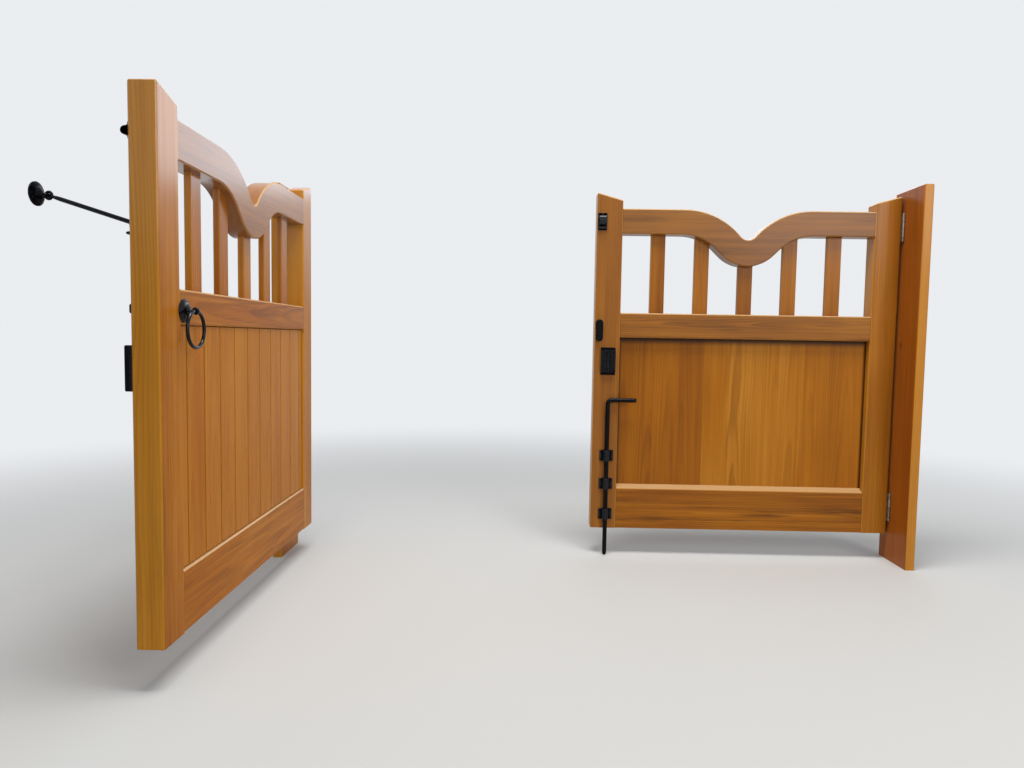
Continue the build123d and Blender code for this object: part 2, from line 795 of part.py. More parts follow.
def add_hinges():
    """Two butt hinges a leaf, one half on the post and one on the leaf."""
    places = (("upper", upper_hinge_height), ("lower", lower_hinge_height))
    for level, height in places:
        post_half, leaf_half = hinge_halves(hinge_length)
        foot = leaf_foot + height
        at_right = Pos(right_hinge_x, hinge_axis_y, foot)
        nodes[f"right_{level}_hinge_post_half"] = at_right * post_half
        nodes[f"right_{level}_hinge_leaf_half"] = at_right * leaf_half
        at_left = Pos(left_hinge_x, hinge_axis_y, foot)
        nodes[f"left_{level}_hinge_post_half"] = at_left * mirror(post_half, about=Plane.YZ)
        swung = Rot(0, 0, -90) * mirror(leaf_half, about=Plane.YZ)
        nodes[f"left_{level}_hinge_leaf_half"] = at_left * swung


def add_left_fittings():
    """Everything on the left leaf: ring handle, latch, lock, bolt and eye."""
    nodes["ring_rose"] = place_left(on_outer_face(ring_rose(), ring_from_edge, ring_height))
    nodes["ring_boss"] = place_left(on_outer_face(ring_boss(), ring_from_edge, ring_height))
    nodes["ring_handle"] = place_left(on_outer_face(hanging_ring(), ring_from_edge, ring_height))
    nodes["latch_bar"] = place_left(latch_bar())
    nodes["latch_guide"] = place_left(latch_guide())
    nodes["lock_case"] = place_left(lock_case())
    nodes["tower_bolt_plate"] = place_left(tower_bolt_plate())
    nodes["tower_bolt_rod"] = place_left(tower_bolt_rod())
    nodes["hook_eye"] = place_left(leaf_eye())


def add_right_fittings():
    """Everything on the right leaf: keeps and the drop bolt."""
    nodes["tower_bolt_keep"] = place_right(tower_keep())
    nodes["latch_keep"] = place_right(latch_keep())
    nodes["lock_keep"] = place_right(lock_keep())
    names = ("lower", "middle", "upper")
    heights = (lower_keeper_height, middle_keeper_height, upper_keeper_height)
    for name, height in zip(names, heights):
        nodes[f"drop_bolt_{name}_keeper"] = place_right(drop_keeper(height))
    nodes["drop_bolt"] = place_right(drop_bolt())


def main():
    nodes["left_post"] = post(left_post_height)
    nodes["right_post"] = Pos(right_post_x, 0, 0) * post(right_post_height)
    add_timber("left", place_left)
    add_timber("right", place_right)
    add_hinges()
    add_left_fittings()
    add_right_fittings()
    nodes["cabin_hook"] = cabin_hook()
    nodes["wall_rose"] = wall_rose()
    os.makedirs("parts", exist_ok=True)
    for name, shape in nodes.items():
        solids = ShapeList(shape).solids() if isinstance(shape, list) else shape.solids()
        whole = solids[0] if len(solids) == 1 else Compound(solids)
        export_step(whole, f"parts/{name}.step")


main()
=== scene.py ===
import json
import math

import bpy
import numpy as np
from mathutils import Matrix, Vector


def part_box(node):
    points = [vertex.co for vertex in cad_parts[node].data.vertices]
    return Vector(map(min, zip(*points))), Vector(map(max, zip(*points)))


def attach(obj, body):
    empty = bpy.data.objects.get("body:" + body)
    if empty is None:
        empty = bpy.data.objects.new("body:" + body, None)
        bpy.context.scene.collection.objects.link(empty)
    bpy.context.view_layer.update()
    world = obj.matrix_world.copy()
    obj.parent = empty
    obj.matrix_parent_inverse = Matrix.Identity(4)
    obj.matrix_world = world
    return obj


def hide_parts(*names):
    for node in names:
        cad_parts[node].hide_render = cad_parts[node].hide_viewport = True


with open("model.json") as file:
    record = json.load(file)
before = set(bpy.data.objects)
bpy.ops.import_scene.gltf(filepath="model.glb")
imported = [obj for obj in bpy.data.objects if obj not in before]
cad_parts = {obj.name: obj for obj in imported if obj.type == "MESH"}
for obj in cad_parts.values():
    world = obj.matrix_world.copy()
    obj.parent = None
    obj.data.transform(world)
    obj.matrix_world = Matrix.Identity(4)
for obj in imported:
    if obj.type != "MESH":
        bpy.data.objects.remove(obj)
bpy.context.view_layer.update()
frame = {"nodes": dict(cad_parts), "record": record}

print("frame loaded")


class Value:
    # a socket that takes part in sums: each operator adds a Math node to its shader

    def __init__(self, shader, socket):
        self.shader = shader
        self.socket = socket

    def maths(self, operation, *numbers):
        return self.shader.add("ShaderNodeMath", {"operation": operation}, numbers)

    def __add__(self, other):
        return self.maths("ADD", self, other)

    def __radd__(self, other):
        return self.maths("ADD", other, self)

    def __sub__(self, other):
        return self.maths("SUBTRACT", self, other)

    def __rsub__(self, other):
        return self.maths("SUBTRACT", other, self)

    def __mul__(self, other):
        return self.maths("MULTIPLY", self, other)

    def __rmul__(self, other):
        return self.maths("MULTIPLY", other, self)

    def __truediv__(self, other):
        return self.maths("DIVIDE", self, other)

    def __rtruediv__(self, other):
        return self.maths("DIVIDE", other, self)

    def floor(self):
        return self.maths("FLOOR", self)

    def fract(self):
        return self.maths("FRACT", self)

    def root(self):
        return self.maths("SQRT", self)

    def size(self):
        return self.maths("ABSOLUTE", self)

    def least(self, other):
        return self.maths("MINIMUM", self, other)

    def most(self, other):
        return self.maths("MAXIMUM", self, other)

    def clipped(self):
        return self.shader.add("ShaderNodeClamp", {}, [self])

    def rise(self, low, high):
        # 0 below low, 1 above high, and a smooth step between them
        return self.shader.add("ShaderNodeMapRange", {"interpolation_type": "SMOOTHSTEP"},
                               {"Value": self, "From Min": low, "From Max": high})


class Shader:
    # the nodes of one material or world

    def __init__(self, tree):
        self.tree = tree
        self.tree.nodes.clear()

    def add(self, kind, settings, values, result=0):
        # settings go on the node first, then values or links go into its sockets, in order or by name
        node = self.tree.nodes.new(kind)
        for key, setting in settings.items():
            if key == "stops":
                self.setStops(node.color_ramp, setting)
            elif key == "blending":
                node.color_ramp.interpolation = setting
            else:
                setattr(node, key, setting)
        pairs = values.items() if isinstance(values, dict) else enumerate(values)
        for key, value in pairs:
            if isinstance(value, Value):
                self.tree.links.new(value.socket, node.inputs[key])
            else:
                node.inputs[key].default_value = value
        if not node.outputs:
            return None
        return Value(self, node.outputs[result])

    def setStops(self, ramp, stops):
        while len(ramp.elements) < len(stops):
            ramp.elements.new(0.5)
        for element, (place, stopColour) in zip(ramp.elements, stops):
            element.position = place
            element.color = stopColour

    def place(self):
        here = self.add("ShaderNodeTexCoord", {}, {}, "Object")
        return [self.add("ShaderNodeSeparateXYZ", {}, [here], axis) for axis in "XYZ"]

    def vector(self, x, y, z):
        return self.add("ShaderNodeCombineXYZ", {}, [x, y, z])

    def noise(self, x, y, z, detail=2.0, roughness=0.5):
        values = {"Vector": self.vector(x, y, z), "Scale": 1.0, "Detail": detail, "Roughness": roughness}
        return self.add("ShaderNodeTexNoise", {"noise_dimensions": "3D"}, values, "Fac")

    def mix(self, amount, first, second):
        return self.add("ShaderNodeMix", {"data_type": "RGBA"}, {0: amount, 6: first, 7: second}, 2)

    def ramp(self, value, stops, blending="LINEAR"):
        return self.add("ShaderNodeValToRGB", {"blending": blending, "stops": stops}, [value])

    def bump(self, strength, distance, height):
        return self.add("ShaderNodeBump", {}, {"Strength": strength, "Distance": distance, "Height": height})

    def surface(self, inputs):
        shade = self.add("ShaderNodeBsdfPrincipled", {}, inputs)
        self.add("ShaderNodeOutputMaterial", {}, [shade])


def blankMaterial(name):
    material = bpy.data.materials.new(name)
    material.use_nodes = True
    return material, Shader(material.node_tree)


def newMaterial(name, inputsFrom):
    # inputsFrom takes the shader and gives the values of the surface's sockets
    material, shader = blankMaterial(name)
    shader.surface(inputsFrom(shader))
    return material


def colour(red, green, blue):
    # sRGB, 0 to 255, turned into linear light
    def linear(part):
        part = part / 255
        return part / 12.92 if part <= 0.04045 else ((part + 0.055) / 1.055) ** 2.4
    return (linear(red), linear(green), linear(blue), 1.0)


def grey(level):
    return (level, level, level, 1.0)


def corners(node):
    low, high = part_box(node)
    return np.array(low, float), np.array(high, float)


def middle(node):
    low, high = corners(node)
    return (low + high) / 2


timberLook = {
    "pale": colour(198, 138, 48),
    "honey": colour(166, 100, 14),
    "amber": colour(124, 66, 8),
    "late": colour(88, 46, 10),
    "umber": colour(66, 36, 10),
    # joint: the dark of the V and butt joints, and of the painted shade round the panels
    "joint": colour(40, 20, 8),
    "russet": colour(176, 86, 0),
    # paintedReflection: a grey veil that stands for the sky reflected on the upper rails and stiles, a
    # painted reflection
    "paintedReflection": colour(98, 94, 80),
    # glint: the colour of the painted highlights along top edges
    "glint": colour(190, 152, 106),
    "knot": colour(82, 28, 6),
    "ringSpacing": 0.0055,
    "lateStart": (0.25, 0.90),
    "lateEnd": (0.91, 1.0),
    "smokeRise": (0.52, 0.76),
    "vJoint": (0.0006, 0.0032),
    "buttJoint": (0.0005, 0.0016),
    "seamShade": (0.0008, 0.0024),
    "rimShade": (0.001, 0.014),
    "railShade": (0.004, 0.030),
    "paleEdge": (0.0006, 0.0016),
    "fibreBump": 0.00012,
    "arrisStart": (0.0002, 0.0009),
    "arrisWidth": 0.0035,
    "edgeHighlightWidth": 0.0022,
    "wearAndHighlightFade": 0.001,
    "topFade": 0.0015,
    "depthFade": 0.002,
    "coatRise": (0.80, 1.20),
    "coatRoughness": 0.17,
}
grainNoise = {  # cells a metre across and along the grain, detail and roughness
    "wander": (3.1, 0.8, 2.0, 0.5),
    "ripple": (15.0, 2.7, 2.0, 0.5),
    "strength": (11.0, 0.9, 1.0, 0.5),
    "streak": (62.0, 1.2, 3.0, 0.6),
    "broad": (6.5, 1.6, 2.0, 0.5),
    "fibre": (700.0, 10.0, 2.0, 0.6),
    "smoke": (38.0, 2.3, 3.0, 0.62),
}
grainShare = {  # how far the noises bend the rings, in metres, and how much they shade the stain
    "wanderAside": 0.07,
    "rippleAside": 0.012,
    "rippleDepth": 0.010,
    "boardAside": 0.09,
    "streak": 0.75,
    "broad": 0.80,
    "fibre": 0.18,
}
neckShape = {"halfWidth": 0.228, "dip": 0.105, "hollow": 0.034}
stileFall = 0.026   # how much a stile's sloping top drops over its width


def belowNeck(along, down):
    # how far a point of the top rail lies inside its upper edge. Along is counted from the dip and
    # down from the shoulder. The edge is flat, then a crown arc of radius R, then a hollow arc of
    # radius r. They touch, so that (R + r)^2 = w^2 + (R + r - dip)^2, with w the neck's half width.
    width, dip, hollow = neckShape["halfWidth"], neckShape["dip"], neckShape["hollow"]
    reach = (width ** 2 + dip ** 2) / (2 * dip)
    crown = reach - hollow
    aside = along.size()
    inward = (width - aside).most(0.0)
    onCrown = crown - (inward * inward + (down - crown) * (down - crown)).root()
    lift = down - dip + hollow
    inHollow = (aside * aside + lift * lift).root() - hollow
    isCrown = (aside - width * hollow / reach).rise(-0.0005, 0.0005)
    return inHollow + (onCrown - inHollow) * isCrown


def stainedTimber(name, node, axes, plan):
    # Stained softwood as a solid texture. Along, across and through are the piece's own directions,
    # counted from its middle. A growth ring's number is the distance from the pith line divided by
    # the ring spacing: the pith lies to one side and behind the face, and leans, so that rings run
    # out of the face in long arches. Stretched noise adds streaks and fibres. Where the plan gives a
    # pitch, each board has its own tree and its own tone.
    # Besides the stain, the colour carries painted light: a grey painted reflection, painted highlights along
    # edges and top edges, lighter lit narrow faces, and painted shade round the panels.
    look, share = timberLook, grainShare
    low, high = corners(node)
    centre, half = (low + high) / 2, (high - low) / 2

    def inputs(sh):
        place = sh.place()
        height = place[2]
        order = ["xyz".index(axis) for axis in axes]
        along, across, through = (place[index] - float(centre[index]) for index in order)
        halfAlong, halfAcross, halfThrough = (float(half[index]) for index in order)
        edgeAcross = halfAcross - across.size()
        edgeAlong = halfAlong - along.size()
        edgeThrough = halfThrough - through.size()
        tree = plan["seed"] * 1.731
        tone = plan["tone"]
        groove = 0.0
        fromTop = halfAcross - across
        if "fall" in plan:
            downhill = halfAcross + across * plan["fall"]
            fromTop = halfAlong - along - downhill * (stileFall / 2 / halfAcross)
        if plan["jointed"] == "neck":
            fromTop = belowNeck(along, halfAcross - across)
        if "pitch" in plan:
            board = (across / plan["pitch"] + 0.5).floor()
            across = across - board * plan["pitch"]
            groove = 1 - (plan["pitch"] / 2 - across.size()).rise(*look["vJoint"])
            isOutside = through.rise(halfThrough * 0.2, halfThrough * 0.8)
            groove = groove * isOutside
            chance = sh.add("ShaderNodeTexWhiteNoise", {"noise_dimensions": "2D"},
                            {"Vector": sh.vector(board, plan["seed"], 0.0)}, "Value")
            tree = chance * 41.0 + tree
            across = across + (chance - 0.5) * share["boardAside"]
            tones = plan["tones"]
            count = len(tones)
            stops = [(index / count, grey(0.5 + value)) for index, value in enumerate(tones)]
            boardTone = sh.ramp((board + count / 2) / count, stops, "CONSTANT")
            tone = boardTone - 0.5 + tone

        def grain(kind, start):
            wide, drawn, detail, roughness = grainNoise[kind]
            return sh.noise(across * wide, through * wide, along * drawn + start, detail, roughness)

        wander = grain("wander", tree)
        ripple = grain("ripple", tree)
        sideways = across - plan["aside"] + (wander - 0.5) * share["wanderAside"]
        sideways = sideways + (ripple - 0.5) * share["rippleAside"]
        depth = through + plan["behind"] + along * plan["lean"] + (ripple - 0.5) * share["rippleDepth"]
        if "knot" in plan:
            knotAlong, knotAcross, knotRadius = plan["knot"]
            fromKnot = ((along - knotAlong) * (along - knotAlong) * 0.25
                        + (across - knotAcross) * (across - knotAcross)).root()
            sideways = sideways + (1 - fromKnot.rise(0.0, knotRadius * 4)) * knotRadius
        rings = (sideways * sideways + depth * depth).root() / look["ringSpacing"] + tree
        phase = rings.fract()
        late = phase.rise(*look["lateStart"]) - phase.rise(*look["lateEnd"])
        strength = grain("strength", tree)
        streak = grain("streak", tree)
        broad = grain("broad", tree * 1.3)
        fibre = grain("fibre", tree)
        shade = (streak - 0.5) * share["streak"] + (broad - 0.5) * share["broad"]
        shade = shade * plan["streaks"] + (fibre - 0.5) * share["fibre"] + tone + 0.5
        # lighter narrow faces: partly a paler stain on the edge grain, partly painted light where these faces
        # catch the light, most on the right post's front band
        if "litEdgeTone" in plan:
            shade = shade + (1 - edgeAcross.rise(*look["paleEdge"])) * plan["litEdgeTone"]
        body = sh.ramp(shade.clipped(), [(0.12, look["amber"]), (0.50, look["honey"]), (0.92, look["pale"])])
        body = sh.mix(plan["warm"], body, look["russet"])
        lateAmount = (late * (strength * 1.7 - 0.45)).clipped() * plan["figure"]
        tint = sh.mix(lateAmount, body, look["late"])
        smoke = grain("smoke", tree + 7.0).rise(*look["smokeRise"])
        tint = sh.mix(smoke * plan["smoke"], tint, look["umber"])
        if "knot" in plan:
            tint = sh.mix((1 - fromKnot.rise(knotRadius * 0.5, knotRadius)) * 0.8, tint, look["knot"])
        pastArris = edgeThrough.rise(look["arrisWidth"], look["arrisWidth"] + look["wearAndHighlightFade"])
        arris = edgeThrough.rise(*look["arrisStart"]) - pastArris
        # painted reflection: the grey veil is mixed in by each piece's share, most on the top rails
        tint = sh.mix(plan["paintedReflection"], tint, look["paintedReflection"])
        # the bevels are paled, partly wear where the stain runs thin and partly a painted highlight; on
        # pieces without joints a pale band along the long edges is a painted highlight
        rubbedAndHighlight = arris * 0.35
        if plan["jointed"] == "none":
            edge = 1 - edgeAcross.rise(look["edgeHighlightWidth"], look["edgeHighlightWidth"] + look["wearAndHighlightFade"])
            rubbedAndHighlight = rubbedAndHighlight.most(edge * 0.45)
        tint = sh.mix(rubbedAndHighlight, tint, look["pale"])
        # painted highlight: a glint-coloured strip along each piece's top edge (the neck, the stiles' sloping
        # tops, the rails' tops and the bottom ledge), near its faces
        if "topHighlight" in plan:
            wearAndHighlight = 1 - fromTop.rise(plan["topHighlight"], plan["topHighlight"] + look["topFade"])
            wearAndHighlight = wearAndHighlight * (1 - edgeThrough.rise(plan["highlightDepth"], plan["highlightDepth"] + look["depthFade"]))
            tint = sh.mix(wearAndHighlight * 0.85, tint, look["glint"])
            rubbedAndHighlight = rubbedAndHighlight.most(wearAndHighlight)
        # real dark joints: the V joints between boards and the butt joints at the rails' ends
        jointsAndShade = groove * 0.75
        if plan["jointed"] in ("ends", "neck"):
            jointsAndShade = 1 - edgeAlong.rise(*look["buttJoint"])
        # painted shade on the panels: on their inner side a darkening under the middle rail and along the
        # side reveals, and on both sides a dark line round their edges
        if plan["jointed"] == "rim":
            rail = node.split("_")[0] + "_middle_rail"
            belowRail = float(corners(rail)[0][2] - centre[2]) - along
            paintedRimShade = 1 - edgeAcross.rise(*look["rimShade"]).least(belowRail.rise(*look["railShade"]))
            jointsAndShade = (paintedRimShade * (1 - isOutside)).most(1 - edgeAcross.least(edgeAlong).rise(*look["seamShade"]))
            jointsAndShade = jointsAndShade.most(groove * 0.85)
        if plan["jointed"] != "none":
            tint = sh.mix(jointsAndShade * 0.9, tint, look["joint"])
        relief = fibre * 0.6 + late * 0.35 + streak * 0.5
        bump = sh.bump(0.4, look["fibreBump"], relief)
        rough = (fibre - 0.5) * 0.14 + (broad - 0.5) * 0.16 - rubbedAndHighlight * 0.08 + plan["roughness"]
        return {"Base Color": tint, "Roughness": rough, "Normal": bump, "Specular IOR Level": plan["sheen"],
                "Coat Weight": height.rise(*look["coatRise"]) * plan["coat"],
                "Coat Roughness": look["coatRoughness"]}

    return newMaterial(name, inputs)


ironLook = {"black": colour(3, 4, 8), "rubbedAndHighlight": colour(72, 73, 76), "dust": colour(15, 14, 14),
            "bare": 0.38, "roughness": 0.19, "cloud": 42.0, "peel": 850.0, "scuff": 240.0,
            "peelBump": 0.0002}


def blackIron(name, seed, specular):
    # satin black powder coat: orange-peel noise for the surface, dust where cloudy noise is high,
    # and bare steel showing through along the worn edges that the "wear" attribute marks
    look = ironLook

    def inputs(sh):
        x, y, z = sh.place()
        cloud = sh.noise(x * look["cloud"] + seed, y * look["cloud"], z * look["cloud"], 3.0, 0.6)
        peel = sh.noise(x * look["peel"], y * look["peel"], z * look["peel"] + seed)
        scuff = sh.noise(x * look["scuff"], y * look["scuff"] + seed, z * look["scuff"], 3.0, 0.7)
        wearAndHighlight = sh.add("ShaderNodeAttribute", {"attribute_name": "wear"}, {}, "Fac")
        bare = (wearAndHighlight * 1.6 + scuff - 0.72).rise(0.28, 0.75) * look["bare"]
        tint = sh.mix(cloud.rise(0.50, 0.80) * 0.30, look["black"], look["dust"])
        tint = sh.mix(bare, tint, look["rubbedAndHighlight"])
        bump = sh.bump(0.22, look["peelBump"], peel)
        rough = (cloud - 0.5) * 0.26 - bare * 0.06 + look["roughness"]
        return {"Base Color": tint, "Roughness": rough, "Metallic": bare * 0.6, "Normal": bump,
                "Specular IOR Level": specular}

    return newMaterial(name, inputs)


steelLook = {"bright": colour(168, 164, 156), "dull": colour(112, 102, 88), "stain": colour(78, 54, 34),
             "roughness": 0.34, "cloud": 60.0, "patch": (130.0, 75.0), "drawn": (900.0, 16.0),
             "drawnBump": 0.0001}


def platedSteel(name, seed):
    # zinc-plated steel: cloudy noise between a bright and a dull tone, fine drawn lines, and a brown
    # stain in patches, rubbed bright again along the edges
    look = steelLook
    patchWide, patchTall = look["patch"]
    drawnWide, drawnTall = look["drawn"]

    def inputs(sh):
        x, y, z = sh.place()
        cloud = sh.noise(x * look["cloud"] + seed, y * look["cloud"], z * look["cloud"], 3.0, 0.65)
        patch = sh.noise(x * patchWide, y * patchWide, z * patchTall + seed, 4.0, 0.7)
        drawn = sh.noise(x * drawnWide, y * drawnWide, z * drawnTall + seed)
        wearAndHighlight = sh.add("ShaderNodeAttribute", {"attribute_name": "wear"}, {}, "Fac")
        tint = sh.mix(cloud.rise(0.35, 0.70), look["bright"], look["dull"])
        tint = sh.mix((patch.rise(0.55, 0.74) * 0.45 - wearAndHighlight * 0.5).clipped(), tint, look["stain"])
        bump = sh.bump(0.3, look["drawnBump"], drawn)
        rough = (cloud - 0.5) * 0.3 + look["roughness"]
        return {"Base Color": tint, "Roughness": rough, "Metallic": 0.85, "Normal": bump}

    return newMaterial(name, inputs)


timberUsual = {"upright": True, "jointed": "none", "highlightDepth": 0.003, "paintedReflection": 0.0, "streaks": 0.8}
timberPlan = {
    "meeting_stile": {"aside": 0.055, "behind": 0.060, "lean": 0.006, "tone": -0.07, "paintedReflection": 0.15,
                      "fall": 1, "topHighlight": 0.003, "figure": 0.55, "smoke": 0.18},
    "hanging_stile": {"aside": -0.075, "behind": 0.050, "lean": -0.008, "tone": 0.08, "paintedReflection": 0.05,
                      "fall": -1, "topHighlight": 0.002, "figure": 0.52, "smoke": 0.24},
    "top_rail": {"upright": False, "jointed": "neck", "aside": 0.060, "behind": 0.055, "lean": 0.018,
                 "tone": -0.15, "paintedReflection": 0.29, "topHighlight": 0.0028, "streaks": 1.1, "figure": 0.72,
                 "smoke": 0.60},
    "middle_rail": {"upright": False, "jointed": "ends", "aside": 0.012, "behind": 0.050, "lean": -0.020,
                    "tone": -0.02, "paintedReflection": 0.18, "topHighlight": 0.0030, "highlightDepth": 0.004, "streaks": 1.2,
                    "figure": 0.90, "smoke": 0.80},
    "bottom_rail": {"upright": False, "jointed": "ends", "aside": -0.030, "behind": 0.060, "lean": 0.014,
                    "tone": -0.04, "paintedReflection": 0.04, "topHighlight": 0.0125, "highlightDepth": 0.030, "streaks": 1.1,
                    "figure": 0.80, "smoke": 0.75},
    "boarded_panel": {"jointed": "rim", "pitch": 0.0914, "aside": 0.0, "behind": 0.070, "lean": 0.016,
                      "tone": 0.04, "streaks": 0.55, "figure": 0.42, "smoke": 0.10},
    "slats": {"pitch": 0.15883, "aside": 0.03, "behind": 0.050, "lean": 0.010, "tone": -0.08,
              "paintedReflection": 0.05, "streaks": 0.7, "figure": 0.45, "smoke": 0.16},
}
leafLook = {
    "left": {"seed": 9, "sheen": 0.05, "coat": 0.70, "roughness": 0.28, "tone": 0.07, "warm": 0.18,
             "clean": 0.55},
    "right": {"seed": 2, "sheen": 0.16, "coat": 0.1, "roughness": 0.34, "tone": -0.05, "warm": 0.0,
              "clean": 1.0},
}
ownLook = {  # what differs on single pieces
    "left_meeting_stile": {"warm": 0.12, "paintedReflection": 0.04, "tone": 0.0, "litEdgeTone": 0.16, "figure": 0.70,
                           "smoke": 0.34, "streaks": 1.1},
    "left_middle_rail": {"warm": 0.36, "paintedReflection": 0.13, "tone": 0.0},
    "left_bottom_rail": {"topHighlight": 0.0165, "paintedReflection": 0.0},
}
boardTones = {  # from the meeting stile to the hanging stile
    "left_boarded_panel": (-0.02, 0.00, 0.02, 0.00, 0.03, -0.01, 0.02, 0.04, 0.01, 0.03, 0.02),
    "right_boarded_panel": (-0.17, -0.16, -0.15, -0.22, 0.06, 0.12, 0.06, 0.06, -0.02, -0.05, -0.08),
    "left_slats": (0.03, -0.03, 0.04, 0.00, -0.02),
    "right_slats": (0.00, 0.05, -0.04, 0.03, 0.05),
}
postUsual = {"sheen": 0.2, "coat": 0.1, "roughness": 0.34, "figure": 0.50}
postPlan = {
    "left_post": {"seed": 21, "aside": 0.03, "behind": 0.070, "lean": 0.006, "tone": -0.04, "smoke": 0.16,
                  "warm": 0.2, "litEdgeTone": 0.20},
    # the right post is darkened and reddened all over to the colour of its shaded side, a painted shade, and
    # its front band is lightened by litEdgeTone, a painted light
    "right_post": {"seed": 27, "aside": -0.04, "behind": 0.060, "lean": 0.008, "tone": -0.20,
                   "paintedReflection": 0.06, "smoke": 0.20, "warm": 0.45, "litEdgeTone": 0.55,
                   "knot": (0.12, 0.01, 0.007)},
}


def dress(node, material):
    slots = frame["nodes"][node].data.materials
    slots.clear()
    slots.append(material)


for side, crosswise, outward in (("left", "y", "x"), ("right", "x", "y")):
    for number, (piece, plan) in enumerate(timberPlan.items()):
        node = side + "_" + piece
        own = {**timberUsual, **leafLook[side], **plan}
        axes = ("z", crosswise, outward) if own["upright"] else (crosswise, "z", outward)
        own["seed"] += number
        own["tone"] += leafLook[side]["tone"]
        for mark in ("smoke", "figure"):
            own[mark] *= leafLook[side]["clean"]
        own.update(ownLook.get(node, {}))
        if node in boardTones:
            own["tones"] = boardTones[node]
        dress(node, stainedTimber(node + "_timber", node, axes, own))
for node, plan in postPlan.items():
    own = {**timberUsual, **postUsual, **plan}
    dress(node, stainedTimber(node + "_timber", node, ("z", "y", "x"), own))
print("timber dressed")

iron = blackIron("black_iron", 3.0, 0.06)
ironBar = blackIron("black_iron_bar", 11.0, 0.12)
enamel = blackIron("black_enamel", 7.0, 0.25)   # the ring and the bolt's keep shine more
steel = platedSteel("plated_steel", 4.0)
dress("latch_keep", ironBar)

wearGain = 2.2
smoothAngle = 38.0   # degrees: a sharper edge stays sharp


def vertexArray(mesh, key):
    values = np.empty(len(mesh.vertices) * 3)
    mesh.vertices.foreach_get(key, values)
    return values.reshape(-1, 3)


def markWear(mesh):
    # the "wear" attribute: how far a point stands proud of its neighbours, as the mean of
    # -(neighbour - point) . normal over the edges that meet there, each divided by its length
    place, normal = vertexArray(mesh, "co"), vertexArray(mesh, "normal")
    count = len(place)
    ends = np.empty(len(mesh.edges) * 2, dtype=np.int64)
    mesh.edges.foreach_get("vertices", ends)
    ends = ends.reshape(-1, 2)
    ends = np.concatenate([ends, ends[:, ::-1]])
    step = place[ends[:, 1]] - place[ends[:, 0]]
    step /= np.linalg.norm(step, axis=1)[:, None] + 1e-9
    proud = -np.sum(step * normal[ends[:, 0]], axis=1)
    total = np.bincount(ends[:, 0], weights=proud, minlength=count)
    meetings = np.bincount(ends[:, 0], minlength=count)
    wear = np.clip(total / np.maximum(meetings, 1) * wearGain, 0, 1)
    layer = mesh.attributes.new("wear", "FLOAT", "POINT")
    layer.data.foreach_set("value", wear.astype(np.float32))


def placed(name, data):
    # a new object in the scene
    thing = bpy.data.objects.new(name, data)
    bpy.context.scene.collection.objects.link(thing)
    return thing


def addPiece(name, shape, material, body, node):
    # a shape, given as points and faces, that rides on a body in place of a node
    points, faces = shape
    mesh = bpy.data.meshes.new(name)
    mesh.from_pydata(np.asarray(points).reshape(-1, 3).tolist(), [], [tuple(face) for face in faces])
    mesh.update()
    mesh.materials.append(material)
    mesh.shade_smooth()
    mesh.set_sharp_from_angle(angle=math.radians(smoothAngle))
    markWear(mesh)
    piece = placed(name, mesh)
    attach(piece, body)
    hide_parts(node)


def gridFaces(rows, columns):
    # quads between neighbouring rows of a grid whose columns go round
    row, column = np.meshgrid(np.arange(rows - 1), np.arange(columns), indexing="ij")
    after = (column + 1) % columns
    quads = np.stack([row * columns + column, row * columns + after,
                      (row + 1) * columns + after, (row + 1) * columns + column], axis=-1)
    return quads.reshape(-1, 4).tolist()


def skin(rings):
    # a closed skin over a stack of rings, with the first and the last one filled flat
    rows, columns = rings.shape[:2]
    faces = gridFaces(rows, columns)
    faces.append(list(range(columns))[::-1])
    faces.append([(rows - 1) * columns + index for index in range(columns)])
    return rings.reshape(-1, 3), faces


def fullTurn(count):
    # angles spaced evenly round a circle
    return np.linspace(0, 2 * math.pi, count, endpoint=False)


def turned(profile, segments):
    # each profile point (radius, height) goes round the z axis: (r cos a, r sin a, h)
    profile = np.asarray(profile, float)
    angle = fullTurn(segments)
    radius, height = profile[:, 0, None], profile[:, 1, None]
    return skin(np.stack([radius * np.cos(angle), radius * np.sin(angle), height + 0 * angle], axis=-1))


def hoop(major, minor, stretch=1.0, segments=96, around=20):
    # a bar bent into a ring about z: ((R + r cos b) cos a, (R + r cos b) sin a, stretch r sin b)
    a, b = np.meshgrid(fullTurn(segments), fullTurn(around), indexing="ij")
    out = major + minor * np.cos(b)
    points = np.stack([out * np.cos(a), out * np.sin(a), stretch * minor * np.sin(b)], axis=-1)
    index = np.arange(segments * around).reshape(segments, around)
    onward, beside = np.roll(index, -1, axis=0), np.roll(index, -1, axis=1)
    quads = np.stack([index, onward, np.roll(onward, -1, axis=1), beside], axis=-1)
    return points.reshape(-1, 3), quads.reshape(-1, 4).tolist()


def bentPath(points, radius, steps):
    # straight runs joined by arcs: the two tangent points of a corner's fillet are joined by
    # c + (p sin((1 - k) w) + q sin(k w)) / sin w, where w is the turn and p and q reach from its centre
    points = [np.asarray(point, float) for point in points]
    path = [points[0]]
    for before, corner, after in zip(points, points[1:], points[2:]):
        inward = (before - corner) / np.linalg.norm(before - corner)
        outward = (after - corner) / np.linalg.norm(after - corner)
        half = math.acos(np.clip(inward @ outward, -1, 1)) / 2
        reach = radius / math.tan(half)
        bisector = (inward + outward) / np.linalg.norm(inward + outward)
        centre = corner + bisector * radius / math.sin(half)
        first = corner + inward * reach - centre
        last = corner + outward * reach - centre
        turn = math.pi - 2 * half
        share = np.linspace(0, 1, steps + 1)[:, None]
        arc = (first * np.sin((1 - share) * turn) + last * np.sin(share * turn)) / math.sin(turn)
        path += list(centre + arc)
    path.append(points[-1])
    return np.array(path)


